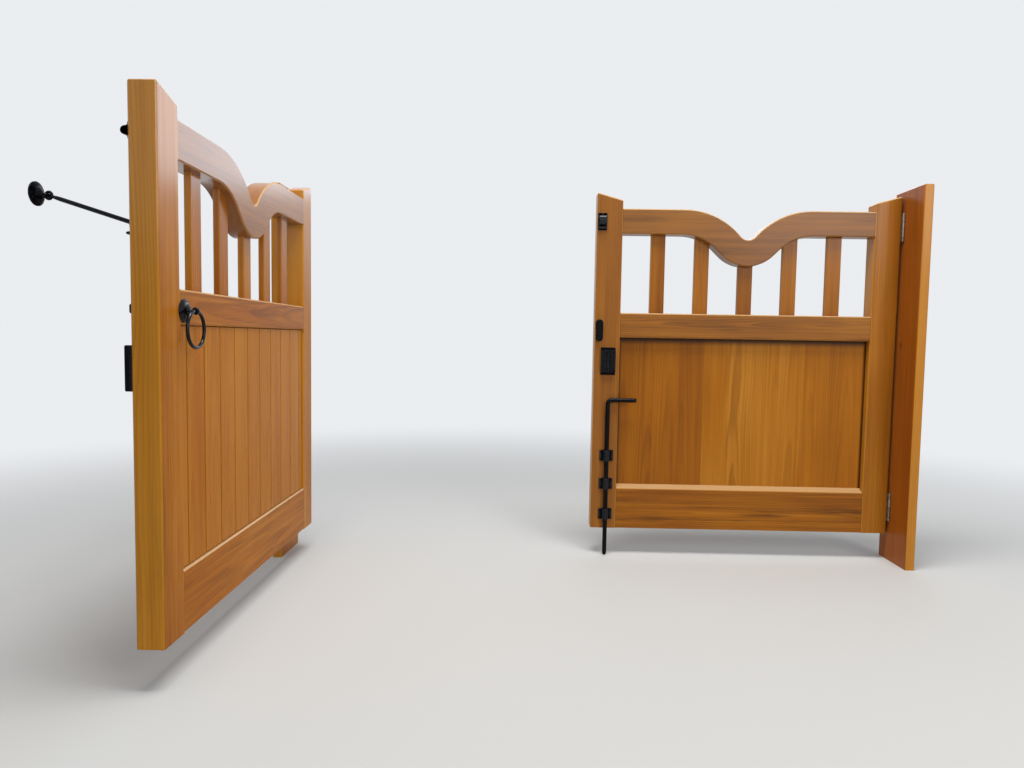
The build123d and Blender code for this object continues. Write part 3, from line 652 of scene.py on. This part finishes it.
def bar(path, radii, around):
    # a circle carried along a path: p + r (cos b n + sin b m), where the side direction n is carried
    # on from point to point and m stands across it
    path = np.asarray(path, float)
    radii = np.broadcast_to(radii, len(path))
    tangent = np.gradient(path, axis=0)
    tangent /= np.linalg.norm(tangent, axis=1)[:, None]
    guess = np.array([0.0, 0, 1]) if abs(tangent[0, 2]) < 0.9 else np.array([1.0, 0, 0])
    side = np.cross(tangent[0], guess)
    sides = []
    for direction in tangent:
        side = side - direction * (side @ direction)
        side = side / np.linalg.norm(side)
        sides.append(side)
    sides = np.array(sides)
    other = np.cross(tangent, sides)
    angle = fullTurn(around)[None, :, None]
    circle = np.cos(angle) * sides[:, None] + np.sin(angle) * other[:, None]
    return skin(path[:, None] + radii[:, None, None] * circle)


def taperedBar(path, radius, foot, tip, around):
    # a bar whose first and last point give way to a few each, as distances from the end with their
    # shares of the radius
    runs = []
    for end, beside, taper in ((path[0], path[1], foot), (path[-1], path[-2], tip)):
        inward = (beside - end) / np.linalg.norm(beside - end)
        runs.append([end + inward * reach for reach, share in taper])
    shares = [share for reach, share in foot] + [1.0] * (len(path) - 2) + [share for reach, share in tip]
    return bar(np.concatenate([runs[0], path[1:-1], runs[1]]), radius * np.array(shares), around)


def roundedOutline(width, height, corner, steps=5):
    # a rectangle with quarter circles at its corners, anticlockwise in x and y
    corner = min(corner, width / 2, height / 2)
    turn = np.linspace(0, math.pi / 2, steps + 1)
    outline = []
    for quarter, (right, up) in enumerate(((1, 1), (-1, 1), (-1, -1), (1, -1))):
        angle = turn + quarter * math.pi / 2
        outline.append(np.stack([right * (width / 2 - corner) + corner * np.cos(angle),
                                 up * (height / 2 - corner) + corner * np.sin(angle)], axis=-1))
    return np.concatenate(outline)


def plate(width, height, thickness, corner, edge, steps=4):
    # rounded outlines stacked in z: straight up, then drawn in along the edge's quarter circle
    turn = np.linspace(0, math.pi / 2, steps + 1)
    levels = [(0.0, 0.0)]
    levels += [(edge * (1 - math.cos(t)), thickness - edge + edge * math.sin(t)) for t in turn]
    rings = []
    for inset, level in levels:
        outline = roundedOutline(width - 2 * inset, height - 2 * inset, max(corner - inset, 0.0004))
        rings.append(np.column_stack([outline, np.full(len(outline), level)]))
    return skin(np.array(rings))


def moulding(outline, length, edge=0.0006):
    # an outline in x and y, anticlockwise, carried along z about the middle; each end is drawn in by
    # the edge, against the outline's own normals
    outline = np.asarray(outline, float)
    along = np.roll(outline, -1, axis=0) - np.roll(outline, 1, axis=0)
    along /= np.linalg.norm(along, axis=1)[:, None]
    outward = np.column_stack([along[:, 1], -along[:, 0]])
    rings = []
    for inset, level in ((edge, 0.0), (0.0, edge), (0.0, length - edge), (edge, length)):
        rings.append(np.column_stack([outline - inset * outward, np.full(len(outline), level - length / 2)]))
    return skin(np.array(rings))


def arc(centre, radius, start, end, steps=12):
    # points on a circle, from one angle to another in degrees
    angle = np.radians(np.linspace(start, end, steps + 1))
    return np.stack([centre[0] + radius * np.cos(angle), centre[1] + radius * np.sin(angle)], axis=-1)


def screwHead(radius, rise):
    # a low dome, z = rise (1 - (r / R)^2), with a cross sunk into it
    rows, columns = 9, 32
    r, a = np.meshgrid(np.linspace(radius, radius * 0.05, rows), fullTurn(columns), indexing="ij")
    x, y = r * np.cos(a), r * np.sin(a)
    cross = (np.minimum(np.abs(x), np.abs(y)) < radius * 0.15) & (r < radius * 0.62)
    height = rise * (1 - (r / radius) ** 2) - np.where(cross, rise * 0.8, 0)
    base = np.stack([x[0], y[0], np.full(columns, -rise * 0.3)], axis=-1)[None]
    return skin(np.concatenate([base, np.stack([x, y, height], axis=-1)]))


def joined(*shapes):
    points, faces, start = [], [], 0
    for somePoints, someFaces in shapes:
        points.append(somePoints)
        faces += [[index + start for index in face] for face in someFaces]
        start += len(somePoints)
    return np.concatenate(points), faces


def moved(shape, matrix):
    # a mirrored frame turns the faces round, so that they still look outwards
    points, faces = shape
    points = points @ matrix[:3, :3].T + matrix[:3, 3]
    if np.linalg.det(matrix[:3, :3]) < 0:
        faces = [face[::-1] for face in faces]
    return points, faces


def frameAt(origin, across, up, out):
    matrix = np.eye(4)
    matrix[:3, 0], matrix[:3, 1], matrix[:3, 2], matrix[:3, 3] = across, up, out, origin
    return matrix


def at(x, y, z):
    return frameAt((x, y, z), (1, 0, 0), (0, 1, 0), (0, 0, 1))


def sideOn(x, y, z, way=1):
    # across runs along y, up along z, and out along x or, where the way is -1, against it
    return frameAt((x, y, z), (0, 1, 0), (0, 0, 1), (way, 0, 0))


standing = frameAt((0, 0, 0), (1, 0, 0), (0, 0, 1), (0, 1, 0))   # a moulding's outline in x and out, run up y
lying = sideOn(0, 0, 0)   # its outline in y and out, run along x
rightFace = corners("right_meeting_stile")[0][1]
leftInnerFace, leftOuterFace = (corner[0] for corner in corners("left_meeting_stile"))


def onRightInner(node):
    # on the face, at the node's middle: x away from the meeting edge, y up and z out of the face
    place = middle(node)
    return frameAt((place[0], rightFace, place[2]), (1, 0, 0), (0, 0, 1), (0, -1, 0))


def onLeftInner(node):
    place = middle(node)
    return sideOn(leftInnerFace, place[1], place[2], -1)


def onLeftOuter(node):
    place = middle(node)
    return sideOn(leftOuterFace, place[1], place[2])


def screws(places, size, base):
    # screw heads of one radius and rise, on a face at the height of the base
    return joined(*(moved(screwHead(*size), at(x, y, base)) for x, y in places))


def fourCorners(aside, up):
    return [(right * aside, way * up) for right in (-1, 1) for way in (-1, 1)]


def jointNamed(name):
    return next(joint for joint in frame["record"]["behaviour"]["joints"] if joint["name"] == name)


def domed(plan, steps):
    # the profile of a rose: over the dome the radius shrinks evenly, while the height follows
    # rim + (dome - rim) times the sine of a quarter turn, to the power of the fullness
    share = np.linspace(0, 1, steps)
    edge = plan["radius"] - plan["lip"]
    radius = edge - (edge - plan["top"]) * share
    height = plan["rim"] + (plan["dome"] - plan["rim"]) * np.sin(share * math.pi / 2) ** plan["fullness"]
    return [(plan["radius"], 0.0), (plan["radius"], plan["rim"] * 0.75)] + list(zip(radius, height))


rosePlan = {"radius": 0.027, "rim": 0.003, "lip": 0.0010, "dome": 0.009, "top": 0.0118, "fullness": 0.8,
            "screw": (0.0032, 0.0014), "screwUp": 0.0200, "screwBase": 0.0066}
ringPlan = {"standOff": 0.027, "ring": 0.0415, "bar": 0.0041, "eye": 0.0064, "eyeBar": 0.0025,
            "eyeStretch": 1.7,
            "waist": ((0.0102, -0.001), (0.011, 0.0004), (0.011, 0.0030), (0.0098, 0.0043),
                      (0.0074, 0.0054), (0.0060, 0.0072), (0.0056, 0.0096), (0.0050, 0.0108))}


def ringRose():
    # a turned dome, and a screw above and below
    plan = rosePlan
    places = [(0.0, plan["screwUp"]), (0.0, -plan["screwUp"])]
    return joined(turned(domed(plan, 14), 64), screws(places, plan["screw"], plan["screwBase"]))


def ringBoss():
    # a turned collar and waist on the rose's dome, and a stout eye that the ring hangs in
    plan = ringPlan
    profile = [(radius, rosePlan["dome"] + rise) for radius, rise in plan["waist"]]
    eye = hoop(plan["eye"], plan["eyeBar"], plan["eyeStretch"], 40, 16)
    return joined(turned(profile, 40), moved(eye, sideOn(0, 0, plan["standOff"])))


onSpindle = onLeftOuter("ring_boss")
hanging = at(0, -ringPlan["ring"], ringPlan["standOff"])
addPiece("ringRosePlate", moved(ringRose(), onSpindle), enamel, "left_leaf", "ring_rose")
addPiece("ringBossKnob", moved(ringBoss(), onSpindle), enamel, "ring_spindle", "ring_boss")
ringPull = moved(hoop(ringPlan["ring"], ringPlan["bar"]), onSpindle @ hanging)
addPiece("ringPull", ringPull, enamel, "ring", "ring_handle")
print("ring handle made")

dropPlan = {"rod": 0.008, "play": 0.0004, "bend": 0.016, "width": 0.050, "height": 0.040, "sheet": 0.003,
            "wall": 0.003, "backing": 0.0010, "screw": (0.0038, 0.0016), "screwAside": 0.0188,
            "screwUp": 0.0130,
            "foot": ((0.0, 0.40), (0.002, 0.68), (0.005, 0.88), (0.009, 1.0)),
            "tip": ((0.010, 1.0), (0.004, 0.94), (0.0012, 0.78), (0.0, 0.45))}


def dropRod():
    # up from a bullet point on the ground, over a bend and out to a handle with a softened end
    plan = dropPlan
    low, high = corners("drop_bolt")
    x, y, top = low[0] + plan["rod"], middle("drop_bolt")[1], high[2] - plan["rod"]
    path = bentPath([(x, y, low[2]), (x, y, top), (high[0], y, top)], plan["bend"], 12)
    return taperedBar(path, plan["rod"], plan["foot"], plan["tip"], 28)


def humpedStrap(width, length, sheet, inner, wall, flare=0.0015):
    # a flat strap humped over a rod: an arc about the rod's middle outside, another inside, with a
    # small flare where the hump leaves the flat
    middleUp = sheet + inner
    outer = inner + wall
    outside = arc((0, middleUp), outer, 0, 180, 16)
    inside = arc((0, middleUp), inner, 180, 0, 16)
    right = [(width / 2, 0.0), (width / 2, sheet), (outer + flare, sheet), (outer, sheet + flare)]
    left = [(-outer, sheet + flare), (-outer - flare, sheet), (-width / 2, sheet), (-width / 2, 0.0)]
    outline = np.concatenate([right, outside, left, [(-inner, 0.0)], inside, [(inner, 0.0)]])
    return moved(moulding(outline, length), standing)


def dropStrap():
    # a thin back plate, a strap humped over the rod, and four screws
    plan = dropPlan
    back = plate(plan["width"], plan["height"], plan["backing"], 0.002, 0.0004)
    hump = humpedStrap(plan["width"], plan["height"], plan["sheet"], plan["rod"] + plan["play"], plan["wall"])
    places = fourCorners(plan["screwAside"], plan["screwUp"])
    return joined(back, hump, screws(places, plan["screw"], plan["sheet"]))


addPiece("dropBoltRod", dropRod(), ironBar, "drop_rod", "drop_bolt")
for level in ("lower", "middle", "upper"):
    node = "drop_bolt_" + level + "_keeper"
    addPiece("dropBoltStrap_" + level, moved(dropStrap(), onRightInner(node)), iron, "right_leaf", node)
print("drop bolt made")

towerKeepPlan = {"sheet": 0.003, "bore": 0.0085, "axis": 0.0094, "crown": 0.0205, "brow": 0.022,
                 "chin": -0.0125, "fullness": 0.55, "lipTop": -0.0155, "lipFoot": -0.0265, "lip": 0.0085,
                 "hoodWidth": 0.027, "margin": 0.0015, "back": 0.0008, "screw": (0.0034, 0.0016),
                 "screwDown": 0.0046}


def swelling(foot, head, sheet, rise, fullness, steps):
    # an outline from foot to head: middle - half cos t along the plate, and out of it
    # sheet + (rise - sheet) sin t, to the power of the fullness
    turn = np.linspace(0, math.pi, steps)
    return np.column_stack([(foot + head) / 2 - (head - foot) / 2 * np.cos(turn),
                            sheet + (rise - sheet) * np.sin(turn) ** fullness])


def towerKeep():
    # a plate with a pressed hood: the outline goes up the plate's front, over a small lip, a crease
    # and the hood's crown, and comes back through the bolt's tunnel
    plan = towerKeepPlan
    low, high = corners("tower_bolt_keep")
    width, height = high[0] - low[0], high[2] - low[2]
    end, back, bore, sheet = height / 2 - plan["margin"], plan["back"], plan["bore"], plan["sheet"]
    lip = swelling(plan["lipFoot"], plan["lipTop"], sheet, plan["lip"], 1.0, 9)
    crown = swelling(plan["chin"], plan["brow"], sheet, plan["crown"], plan["fullness"], 17)
    tunnel = arc((0, plan["axis"]), bore, 0, 180, 16)
    outline = np.concatenate([[(-end, sheet)], lip, crown, [(end, sheet), (end, back), (bore, back)],
                              tunnel, [(-bore, back), (-end, back)]])
    hood = moved(moulding(outline[::-1], plan["hoodWidth"], 0.0012), lying)
    places = [(0.0, height / 2 - plan["screwDown"])]
    return joined(plate(width, height, sheet, 0.003, 0.0006), hood, screws(places, plan["screw"], sheet))


addPiece("towerBoltKeep", moved(towerKeep(), onRightInner("tower_bolt_keep")), enamel, "right_leaf",
         "tower_bolt_keep")

lockKeepPlan = {"sheet": 0.003, "deep": 0.014, "margin": 0.009, "wall": 0.003, "endWall": 0.006,
                "ease": 0.0025, "lidEase": 0.0020, "ridges": 4, "ridge": 0.0007, "blockIn": 0.0012,
                "screw": (0.0036, 0.0016)}


def lockKeep():
    # a plate with a box on it: the box's outline in x and out is open towards the lock, and its front
    # is ribbed, out = deep - ridge (1 - cos of its turns) / 2; two blocks close the box above and below
    plan = lockKeepPlan
    low, high = corners("lock_keep")
    width, height = high[0] - low[0], high[2] - low[2]
    half, foot = width / 2, plan["sheet"] * 0.5
    x = np.linspace(half - plan["ease"], -half + plan["ease"], 73)
    share = (x + half) / width
    ribs = 0.5 - 0.5 * np.cos(2 * math.pi * plan["ridges"] * share)
    front = np.column_stack([x, plan["deep"] - plan["ridge"] * ribs])
    wallIn, wallAside = plan["deep"] - plan["wall"], half - plan["endWall"]
    outline = np.concatenate([[(half, foot), (half, plan["deep"] - plan["ease"])], front,
                              [(-half, plan["deep"] - plan["lidEase"]), (-half, wallIn)],
                              [(wallAside, wallIn), (wallAside, foot)]])
    boxHeight = height - 2 * plan["margin"]
    cover = moved(moulding(outline, boxHeight, 0.0008), standing)
    block = plate(width - plan["blockIn"], plan["margin"], plan["deep"] - plan["blockIn"], 0.0015, 0.001)
    blockUp = boxHeight / 2 - plan["margin"] / 2 - 0.0004
    blocks = [moved(block, at(0, up * blockUp, 0)) for up in (-1, 1)]
    sheet = plate(width, height, plan["sheet"], 0.0025, 0.0006)
    ends = [(0.0, up * (height / 2 - plan["margin"] / 2)) for up in (-1, 1)]
    return joined(sheet, cover, *blocks, screws(ends, plan["screw"], plan["sheet"]))


addPiece("lockKeepBox", moved(lockKeep(), onRightInner("lock_keep")), iron, "right_leaf", "lock_keep")
print("keeps made")

latchPlan = {"thickness": 0.006, "edge": 0.0012, "corner": 0.004,
             "rivet": ((0.0054, 0.0), (0.0054, 0.0068), (0.00486, 0.0080), (0.00297, 0.0088),
                       (0.00054, 0.0090))}


def latchBar():
    # a flat bar whose outline is rounded off about the pivot and eased at its free end
    plan = latchPlan
    low, high = corners("latch_bar")
    half, corner = (high[2] - low[2]) / 2, plan["corner"]
    pivot = high[1] - half
    end = low[1] + corner - pivot
    outline = np.concatenate([arc((0, 0), half, -90, 90, 20), arc((end, half - corner), corner, 90, 180, 6),
                              arc((end, corner - half), corner, 180, 270, 6)])
    flat = moved(moulding(outline, plan["thickness"], plan["edge"]), at(0, 0, plan["thickness"] / 2))
    shape = joined(flat, turned(plan["rivet"], 32))
    return moved(shape, sideOn(leftInnerFace, pivot, middle("latch_bar")[2], -1))


guidePlan = {"sheet": 0.003, "width": 0.014, "play": 0.001, "ease": 0.001, "screw": (0.0036, 0.0016),
             "screwIn": 0.0075}


def latchGuide():
    # a strap bridged over the latch bar: the outline of its upper half, from the bridge's underside
    # out over the foot and back to its top, and then the same mirrored
    plan = guidePlan
    low, high = corners("latch_guide")
    out, end = leftInnerFace - low[0], (high[2] - low[2]) / 2
    inner = middle("latch_guide")[2] - corners("latch_bar")[0][2] + plan["play"]
    sheet, ease = plan["sheet"], plan["ease"]
    outer = inner + sheet
    upper = [(inner, out - sheet), (inner, 0.0), (end, 0.0), (end, sheet), (outer, sheet),
             (outer, out - ease), (outer - ease, out)]
    outline = upper + [(-up, level) for up, level in upper[::-1]]
    strap = moved(moulding(outline, plan["width"]), lying)
    feet = [(0.0, up * (end - plan["screwIn"])) for up in (-1, 1)]
    return moved(joined(strap, screws(feet, plan["screw"], sheet)), onLeftInner("latch_guide"))


addPiece("latchBarFlat", latchBar(), ironBar, "left_leaf", "latch_bar")
addPiece("latchGuideStrap", latchGuide(), iron, "left_leaf", "latch_guide")

lockPlan = {"corner": 0.004, "edge": 0.0025, "screw": (0.0030, 0.0012), "screwAside": 0.030,
            "screwUp": 0.043, "screwSunk": 0.0012}


def lockCase():
    # a box with rounded corners, and a screw near each of them
    plan = lockPlan
    low, high = corners("lock_case")
    depth, width, height = high - low
    cover = plate(width, height, depth, plan["corner"], plan["edge"], steps=6)
    places = fourCorners(plan["screwAside"], plan["screwUp"])
    shape = joined(cover, screws(places, plan["screw"], depth - plan["screwSunk"]))
    return moved(shape, onLeftInner("lock_case"))


addPiece("lockCaseBox", lockCase(), iron, "left_leaf", "lock_case")

towerPlan = {"sheet": 0.003, "rod": 0.006, "play": 0.0004, "staple": 0.016, "wall": 0.003, "throw": 0.026,
             "gap": 0.004, "knob": 0.0045, "strapShare": 0.62, "screw": (0.0034, 0.0015),
             "screwIn": 0.016, "screwShare": 0.34}


def towerBoltPlate():
    # a long plate with a humped strap over the rod near each end, and two screws beside each strap
    plan = towerPlan
    low, high = corners("tower_bolt_plate")
    length, width = high[1] - low[1], high[2] - low[2]
    sheet = plate(length, width, plan["sheet"], 0.003, 0.0006)
    inner = plan["rod"] + plan["play"]
    strap = humpedStrap(width * plan["strapShare"], plan["staple"], 0.0, inner, plan["wall"])
    turnStrap = frameAt((0, 0, plan["sheet"] - 0.0002), (0, 1, 0), (1, 0, 0), (0, 0, 1))
    inset = length / 2 - plan["staple"] / 2
    straps = [moved(strap, at(place, 0, 0) @ turnStrap) for place in (-inset, inset)]
    places = fourCorners(inset - plan["screwIn"], width * plan["screwShare"])
    shape = joined(sheet, *straps, screws(places, plan["screw"], plan["sheet"]))
    return moved(shape, onLeftInner("tower_bolt_plate"))


def towerBoltRod():
    # a turned rod with a bevelled nose, and a turned knob that stands out of it, past the first
    # staple, the throw and a small gap
    plan = towerPlan
    low, high = corners("tower_bolt_rod")
    length, z = high[1] - low[1], middle("tower_bolt_rod")[2]
    r, k = plan["rod"], plan["knob"]
    axis = leftInnerFace - plan["sheet"] - r - plan["play"]
    reach = axis - low[0]
    profile = [(r * 0.62, 0.0), (r * 0.86, 0.0006), (r, 0.0022), (r, length - 0.001), (r * 0.86, length)]
    rod = moved(turned(profile, 32), frameAt((axis, low[1], z), (0, 0, 1), (1, 0, 0), (0, 1, 0)))
    knobProfile = [(k * 0.72, r * 0.4), (k * 0.72, reach * 0.52), (k * 0.94, reach * 0.60), (k, reach * 0.72),
                   (k, reach * 0.90), (k * 0.86, reach * 0.975), (k * 0.5, reach)]
    knobPlace = low[1] + plan["staple"] + plan["throw"] + k + plan["gap"]
    return joined(rod, moved(turned(knobProfile, 28), sideOn(axis, knobPlace, z, -1)))


addPiece("towerBoltPlate", towerBoltPlate(), iron, "left_leaf", "tower_bolt_plate")
addPiece("towerBoltShaft", towerBoltRod(), steel, "tower_rod", "tower_bolt_rod")
print("left leaf's inner fittings made")

hookPlan = {"bar": 0.005, "eyeHole": 0.0039, "eyeWire": 0.0035, "bend": 0.009, "drop": 0.018,
            "neck": ((0.0, 0.66), (0.006, 0.76), (0.014, 0.92), (0.024, 1.0)),
            "tip": ((0.0060, 0.94), (0.0030, 0.82), (0.0010, 0.62), (0.0, 0.35))}


def cabinHook():
    # an eye, a round bar that swells out of it, a rounded bend and a pointed tip
    plan = hookPlan
    joint = jointNamed("cabin_hook_lift")
    pivot, axis = np.array(joint["pos_m"]), np.array(joint["axis"])
    low, high = corners("cabin_hook")
    ahead = np.cross(axis, (0, 0, 1))
    ahead = -ahead if ahead[0] < 0 else ahead
    down = np.array((0, 0, -1))
    run = (high[0] - plan["bar"] - pivot[0]) / ahead[0]
    fall = pivot[2] - (low[2] + plan["drop"])
    away = plan["eyeHole"] + plan["eyeWire"]
    eye = moved(hoop(away, plan["eyeWire"], 1.0, 40, 16), frameAt(pivot, ahead, np.cross(axis, ahead), axis))
    slope = math.atan2(fall, run)
    start = pivot + away * (ahead * math.cos(slope) + down * math.sin(slope))
    bend = pivot + ahead * run + down * fall
    path = bentPath([start, bend, bend + down * plan["drop"]], plan["bend"], 10)
    shape = joined(eye, taperedBar(path, plan["bar"], plan["neck"], plan["tip"], 24))
    return shape, pivot, ahead, axis


hookShape, hookPivot, hookAhead, hookAxis = cabinHook()
addPiece("cabinHookBar", hookShape, ironBar, "hook", "cabin_hook")

wallPlan = {"radius": 0.027, "rim": 0.003, "lip": 0.0012, "dome": 0.007, "top": 0.01176, "fullness": 1.0,
            "wire": 0.0033, "halfGap": 0.012, "bend": 0.006, "screw": (0.0030, 0.0014),
            "screwCircle": 0.0195, "screwBase": 0.0050}


def wallRose():
    # a turned disc, three screws, and a staple bent from wire for the hook's eye
    plan = wallPlan
    low = corners("wall_rose")[0]
    disc = turned(domed(plan, 10) + [(0.002, plan["dome"])], 64)
    places = arc((0, 0), plan["screwCircle"], 90, 330, 2)
    disc = joined(disc, screws(places, plan["screw"], plan["screwBase"]))
    disc = moved(disc, sideOn(low[0], low[1] + plan["radius"], low[2] + plan["radius"]))
    reach = (hookPivot[0] - low[0] - plan["rim"]) / hookAhead[0]
    legs = [hookPivot + hookAxis * side * plan["halfGap"] for side in (-1, 1)]
    feet = [leg - hookAhead * reach for leg in legs]
    staple = bentPath([feet[0], legs[0], legs[1], feet[1]], plan["bend"], 8)
    return joined(disc, bar(staple, plan["wire"], 20))


addPiece("wallRoseStaple", wallRose(), iron, "posts", "wall_rose")

eyePlan = {"ring": 0.009, "wire": 0.003, "shank": 0.0026, "reach": 0.026, "thread": 0.00028,
           "pitch": 0.0016, "threaded": 0.62, "collar": 0.008, "collarDeep": 0.003}


def hookEye():
    # a screw eye: a wire ring, a shank with a thread whose radius follows a sine, and a collar
    plan = eyePlan
    y, z = middle("hook_eye")[1:]
    ring = moved(hoop(plan["ring"], plan["wire"], 1.0, 48, 16), at(leftInnerFace - plan["reach"], y, z))
    length = plan["reach"] - plan["ring"]
    along = np.linspace(0, length, 34)
    wave = np.sin(along / plan["pitch"] * 2 * math.pi) * (along < length * plan["threaded"])
    shank = turned(np.column_stack([plan["shank"] + plan["thread"] * wave, along]), 24)
    wide, deep = plan["collar"], plan["collarDeep"]
    collar = turned([(wide, 0.0), (wide, deep * 0.6), (wide * 0.86, deep), (plan["shank"], deep)], 40)
    return joined(ring, moved(joined(shank, collar), onLeftInner("hook_eye")))


addPiece("hookScrewEye", hookEye(), iron, "left_leaf", "hook_eye")
print("cabin hook made")

hingePlan = {"length": 0.100, "width": 0.040, "knuckle": 0.0037, "pin": 0.0020, "play": 0.0005,
             "flap": 0.0025, "gap": 0.004, "screw": (0.0034, 0.0008),
             "holes": ((0.016, 0.014), (0.030, 0.050), (0.016, 0.086))}
hingeWays = {  # from the pin, the way to the face that a flap lies on, and the way that the flap runs
    "left": {"post": ((-1, 0, 0), (0, 1, 0)), "leaf": ((0, -1, 0), (1, 0, 0))},
    "right": {"post": ((1, 0, 0), (0, 1, 0)), "leaf": ((-1, 0, 0), (0, 1, 0))},
}


def knuckle(low, high):
    # a rolled barrel with eased ends
    r = hingePlan["knuckle"]
    return turned([(r * 0.80, low), (r * 0.95, low + 0.0003), (r, low + 0.0010), (r, high - 0.0010),
                   (r * 0.95, high - 0.0003), (r * 0.80, high)], 28)


def hingeHalf(half):
    # about the pin, from z = 0: x points to the face that the flap lies on and y along the flap. The
    # post's half has the two outer barrels and the pin, and the leaf's half the one between them
    plan = hingePlan
    length, width, play = plan["length"], plan["width"], plan["play"] / 2
    pitch = length / 3
    flap = moved(plate(width, length, plan["flap"], 0.002, 0.0004),
                 sideOn(plan["gap"], width / 2, length / 2, -1))
    barrels = [knuckle(pitch + play, 2 * pitch - play)]
    if half == "post":
        barrels = [knuckle(0.0, pitch - play), knuckle(2 * pitch + play, length),
                   turned([(plan["pin"], 0.0004), (plan["pin"], length - 0.0004)], 20)]
    inner = plan["gap"] - plan["flap"]
    heads = [moved(screwHead(*plan["screw"]), sideOn(inner, aside, up, -1)) for aside, up in plan["holes"]]
    return joined(flap, *barrels, *heads)


for side, ways in hingeWays.items():
    pinX, pinY = jointNamed(side + "_swing")["pos_m"][:2]
    for level in ("upper", "lower"):
        start = side + "_" + level + "_hinge_"
        pin = (pinX, pinY, corners(start + "post_half")[0][2])
        for half, (facing, running) in ways.items():
            name = side + level.capitalize() + "Hinge" + half.capitalize() + "Flap"
            shape = moved(hingeHalf(half), frameAt(pin, facing, running, (0, 0, 1)))
            body = "posts" if half == "post" else side + "_leaf"
            addPiece(name, shape, steel, body, start + half + "_half")
print("hinges made")

studio = {"floor": (0.53, 0.53, 0.52, 1), "backdrop": (0.90, 0.92, 0.95, 1), "shown": 0.92, "ambient": 0.44,
          "heart": (1.0, -0.5), "fade": (1.5, 4.4), "floorX": (-14, 16), "floorY": (-9, 22)}
# the camera stands at the eye and looks ahead, and level is its x
view = {"sensor": 36, "lens": 25.075, "eye": (0.8598, -2.6637, 0.7913),
        "ahead": (-0.01456893, 0.99780133, -0.06465487), "level": (0.99974174, 0.01566414, 0.01646473)}


def shownRays(sh):
    # 1 on the rays that show the backdrop: the camera's, and those of reflections and of glass
    seen = sh.add("ShaderNodeLightPath", {}, {}, "Is Camera Ray")
    for kind in ("Is Glossy Ray", "Is Transmission Ray"):
        seen = seen.most(sh.add("ShaderNodeLightPath", {}, {}, kind))
    return seen


def paleFloor():
    # a matt floor that takes shadows and, where it is shown, turns into the backdrop far from the object
    material, sh = blankMaterial("pale_floor")
    x, y = (along - middling for along, middling in zip(sh.place(), studio["heart"]))
    fading = (x * x + y * y).root().rise(*studio["fade"]) * shownRays(sh)
    matt = sh.add("ShaderNodeBsdfPrincipled", {}, {"Base Color": studio["floor"], "Roughness": 0.9})
    glow = sh.add("ShaderNodeEmission", {}, {"Color": studio["backdrop"], "Strength": studio["shown"]})
    sh.add("ShaderNodeOutputMaterial", {}, [sh.add("ShaderNodeMixShader", {}, [fading, matt, glow])])
    return material


def studioWorld():
    # the backdrop shows at full strength to the camera and in reflections, and lights more gently
    world = bpy.data.worlds.new("studio")
    world.use_nodes = True
    sh = Shader(world.node_tree)
    strength = shownRays(sh) * (studio["shown"] - studio["ambient"]) + studio["ambient"]
    light = sh.add("ShaderNodeBackground", {}, {"Color": studio["backdrop"], "Strength": strength})
    sh.add("ShaderNodeOutputWorld", {}, [light])
    return world


left, right = studio["floorX"]
near, far = studio["floorY"]
floorCorners = [(left, near, 0), (right, near, 0), (right, far, 0), (left, far, 0)]
floorMesh = bpy.data.meshes.new("floor")
floorMesh.from_pydata(floorCorners, [], [(0, 1, 2, 3)])
floorMesh.materials.append(paleFloor())
placed("floor", floorMesh)
bpy.context.scene.world = studioWorld()


def aimed(origin, target):
    # a frame that looks down its own -z at the target, with its x level
    origin, target = np.array(origin, float), np.array(target, float)
    back = (origin - target) / np.linalg.norm(origin - target)
    side = np.cross((0, 0, 1), back)
    side /= np.linalg.norm(side)
    return Matrix(frameAt(origin, side, np.cross(back, side), back).tolist())


lamps = {
    "overhead": {"from": (1.0, -1.1, 4.2), "to": (1.0, -0.5, 0.6), "size": (2.4, 1.3), "power": 150,
                 "tint": (1.0, 0.99, 0.97)},
    "front": {"from": (3.4, -3.6, 2.2), "to": (1.2, -0.2, 0.7), "size": (1.5, 1.5), "power": 50,
              "tint": (1.0, 0.98, 0.95)},
    "behind": {"from": (2.8, 4.6, 3.1), "to": (0.4, -0.6, 0.9), "size": (4.5, 1.6), "power": 66,
               "tint": (0.78, 0.89, 1.0)},
}
for name, plan in lamps.items():
    light = bpy.data.lights.new(name, "AREA")
    light.shape = "RECTANGLE"
    light.size, light.size_y = plan["size"]
    light.energy = plan["power"]
    light.color = plan["tint"]
    lamp = placed(name, light)
    lamp.matrix_world = aimed(plan["from"], plan["to"])
    lamp.visible_camera = False

camera = placed("camera", bpy.data.cameras.new("camera"))
camera.data.sensor_width = view["sensor"]
camera.data.lens = view["lens"]
ahead, level = np.array(view["ahead"]), np.array(view["level"])
camera.matrix_world = Matrix(frameAt(view["eye"], level, np.cross(level, ahead), -ahead).tolist())
bpy.context.scene.camera = camera
bpy.context.scene.view_settings.view_transform = "Standard"
print("studio set")
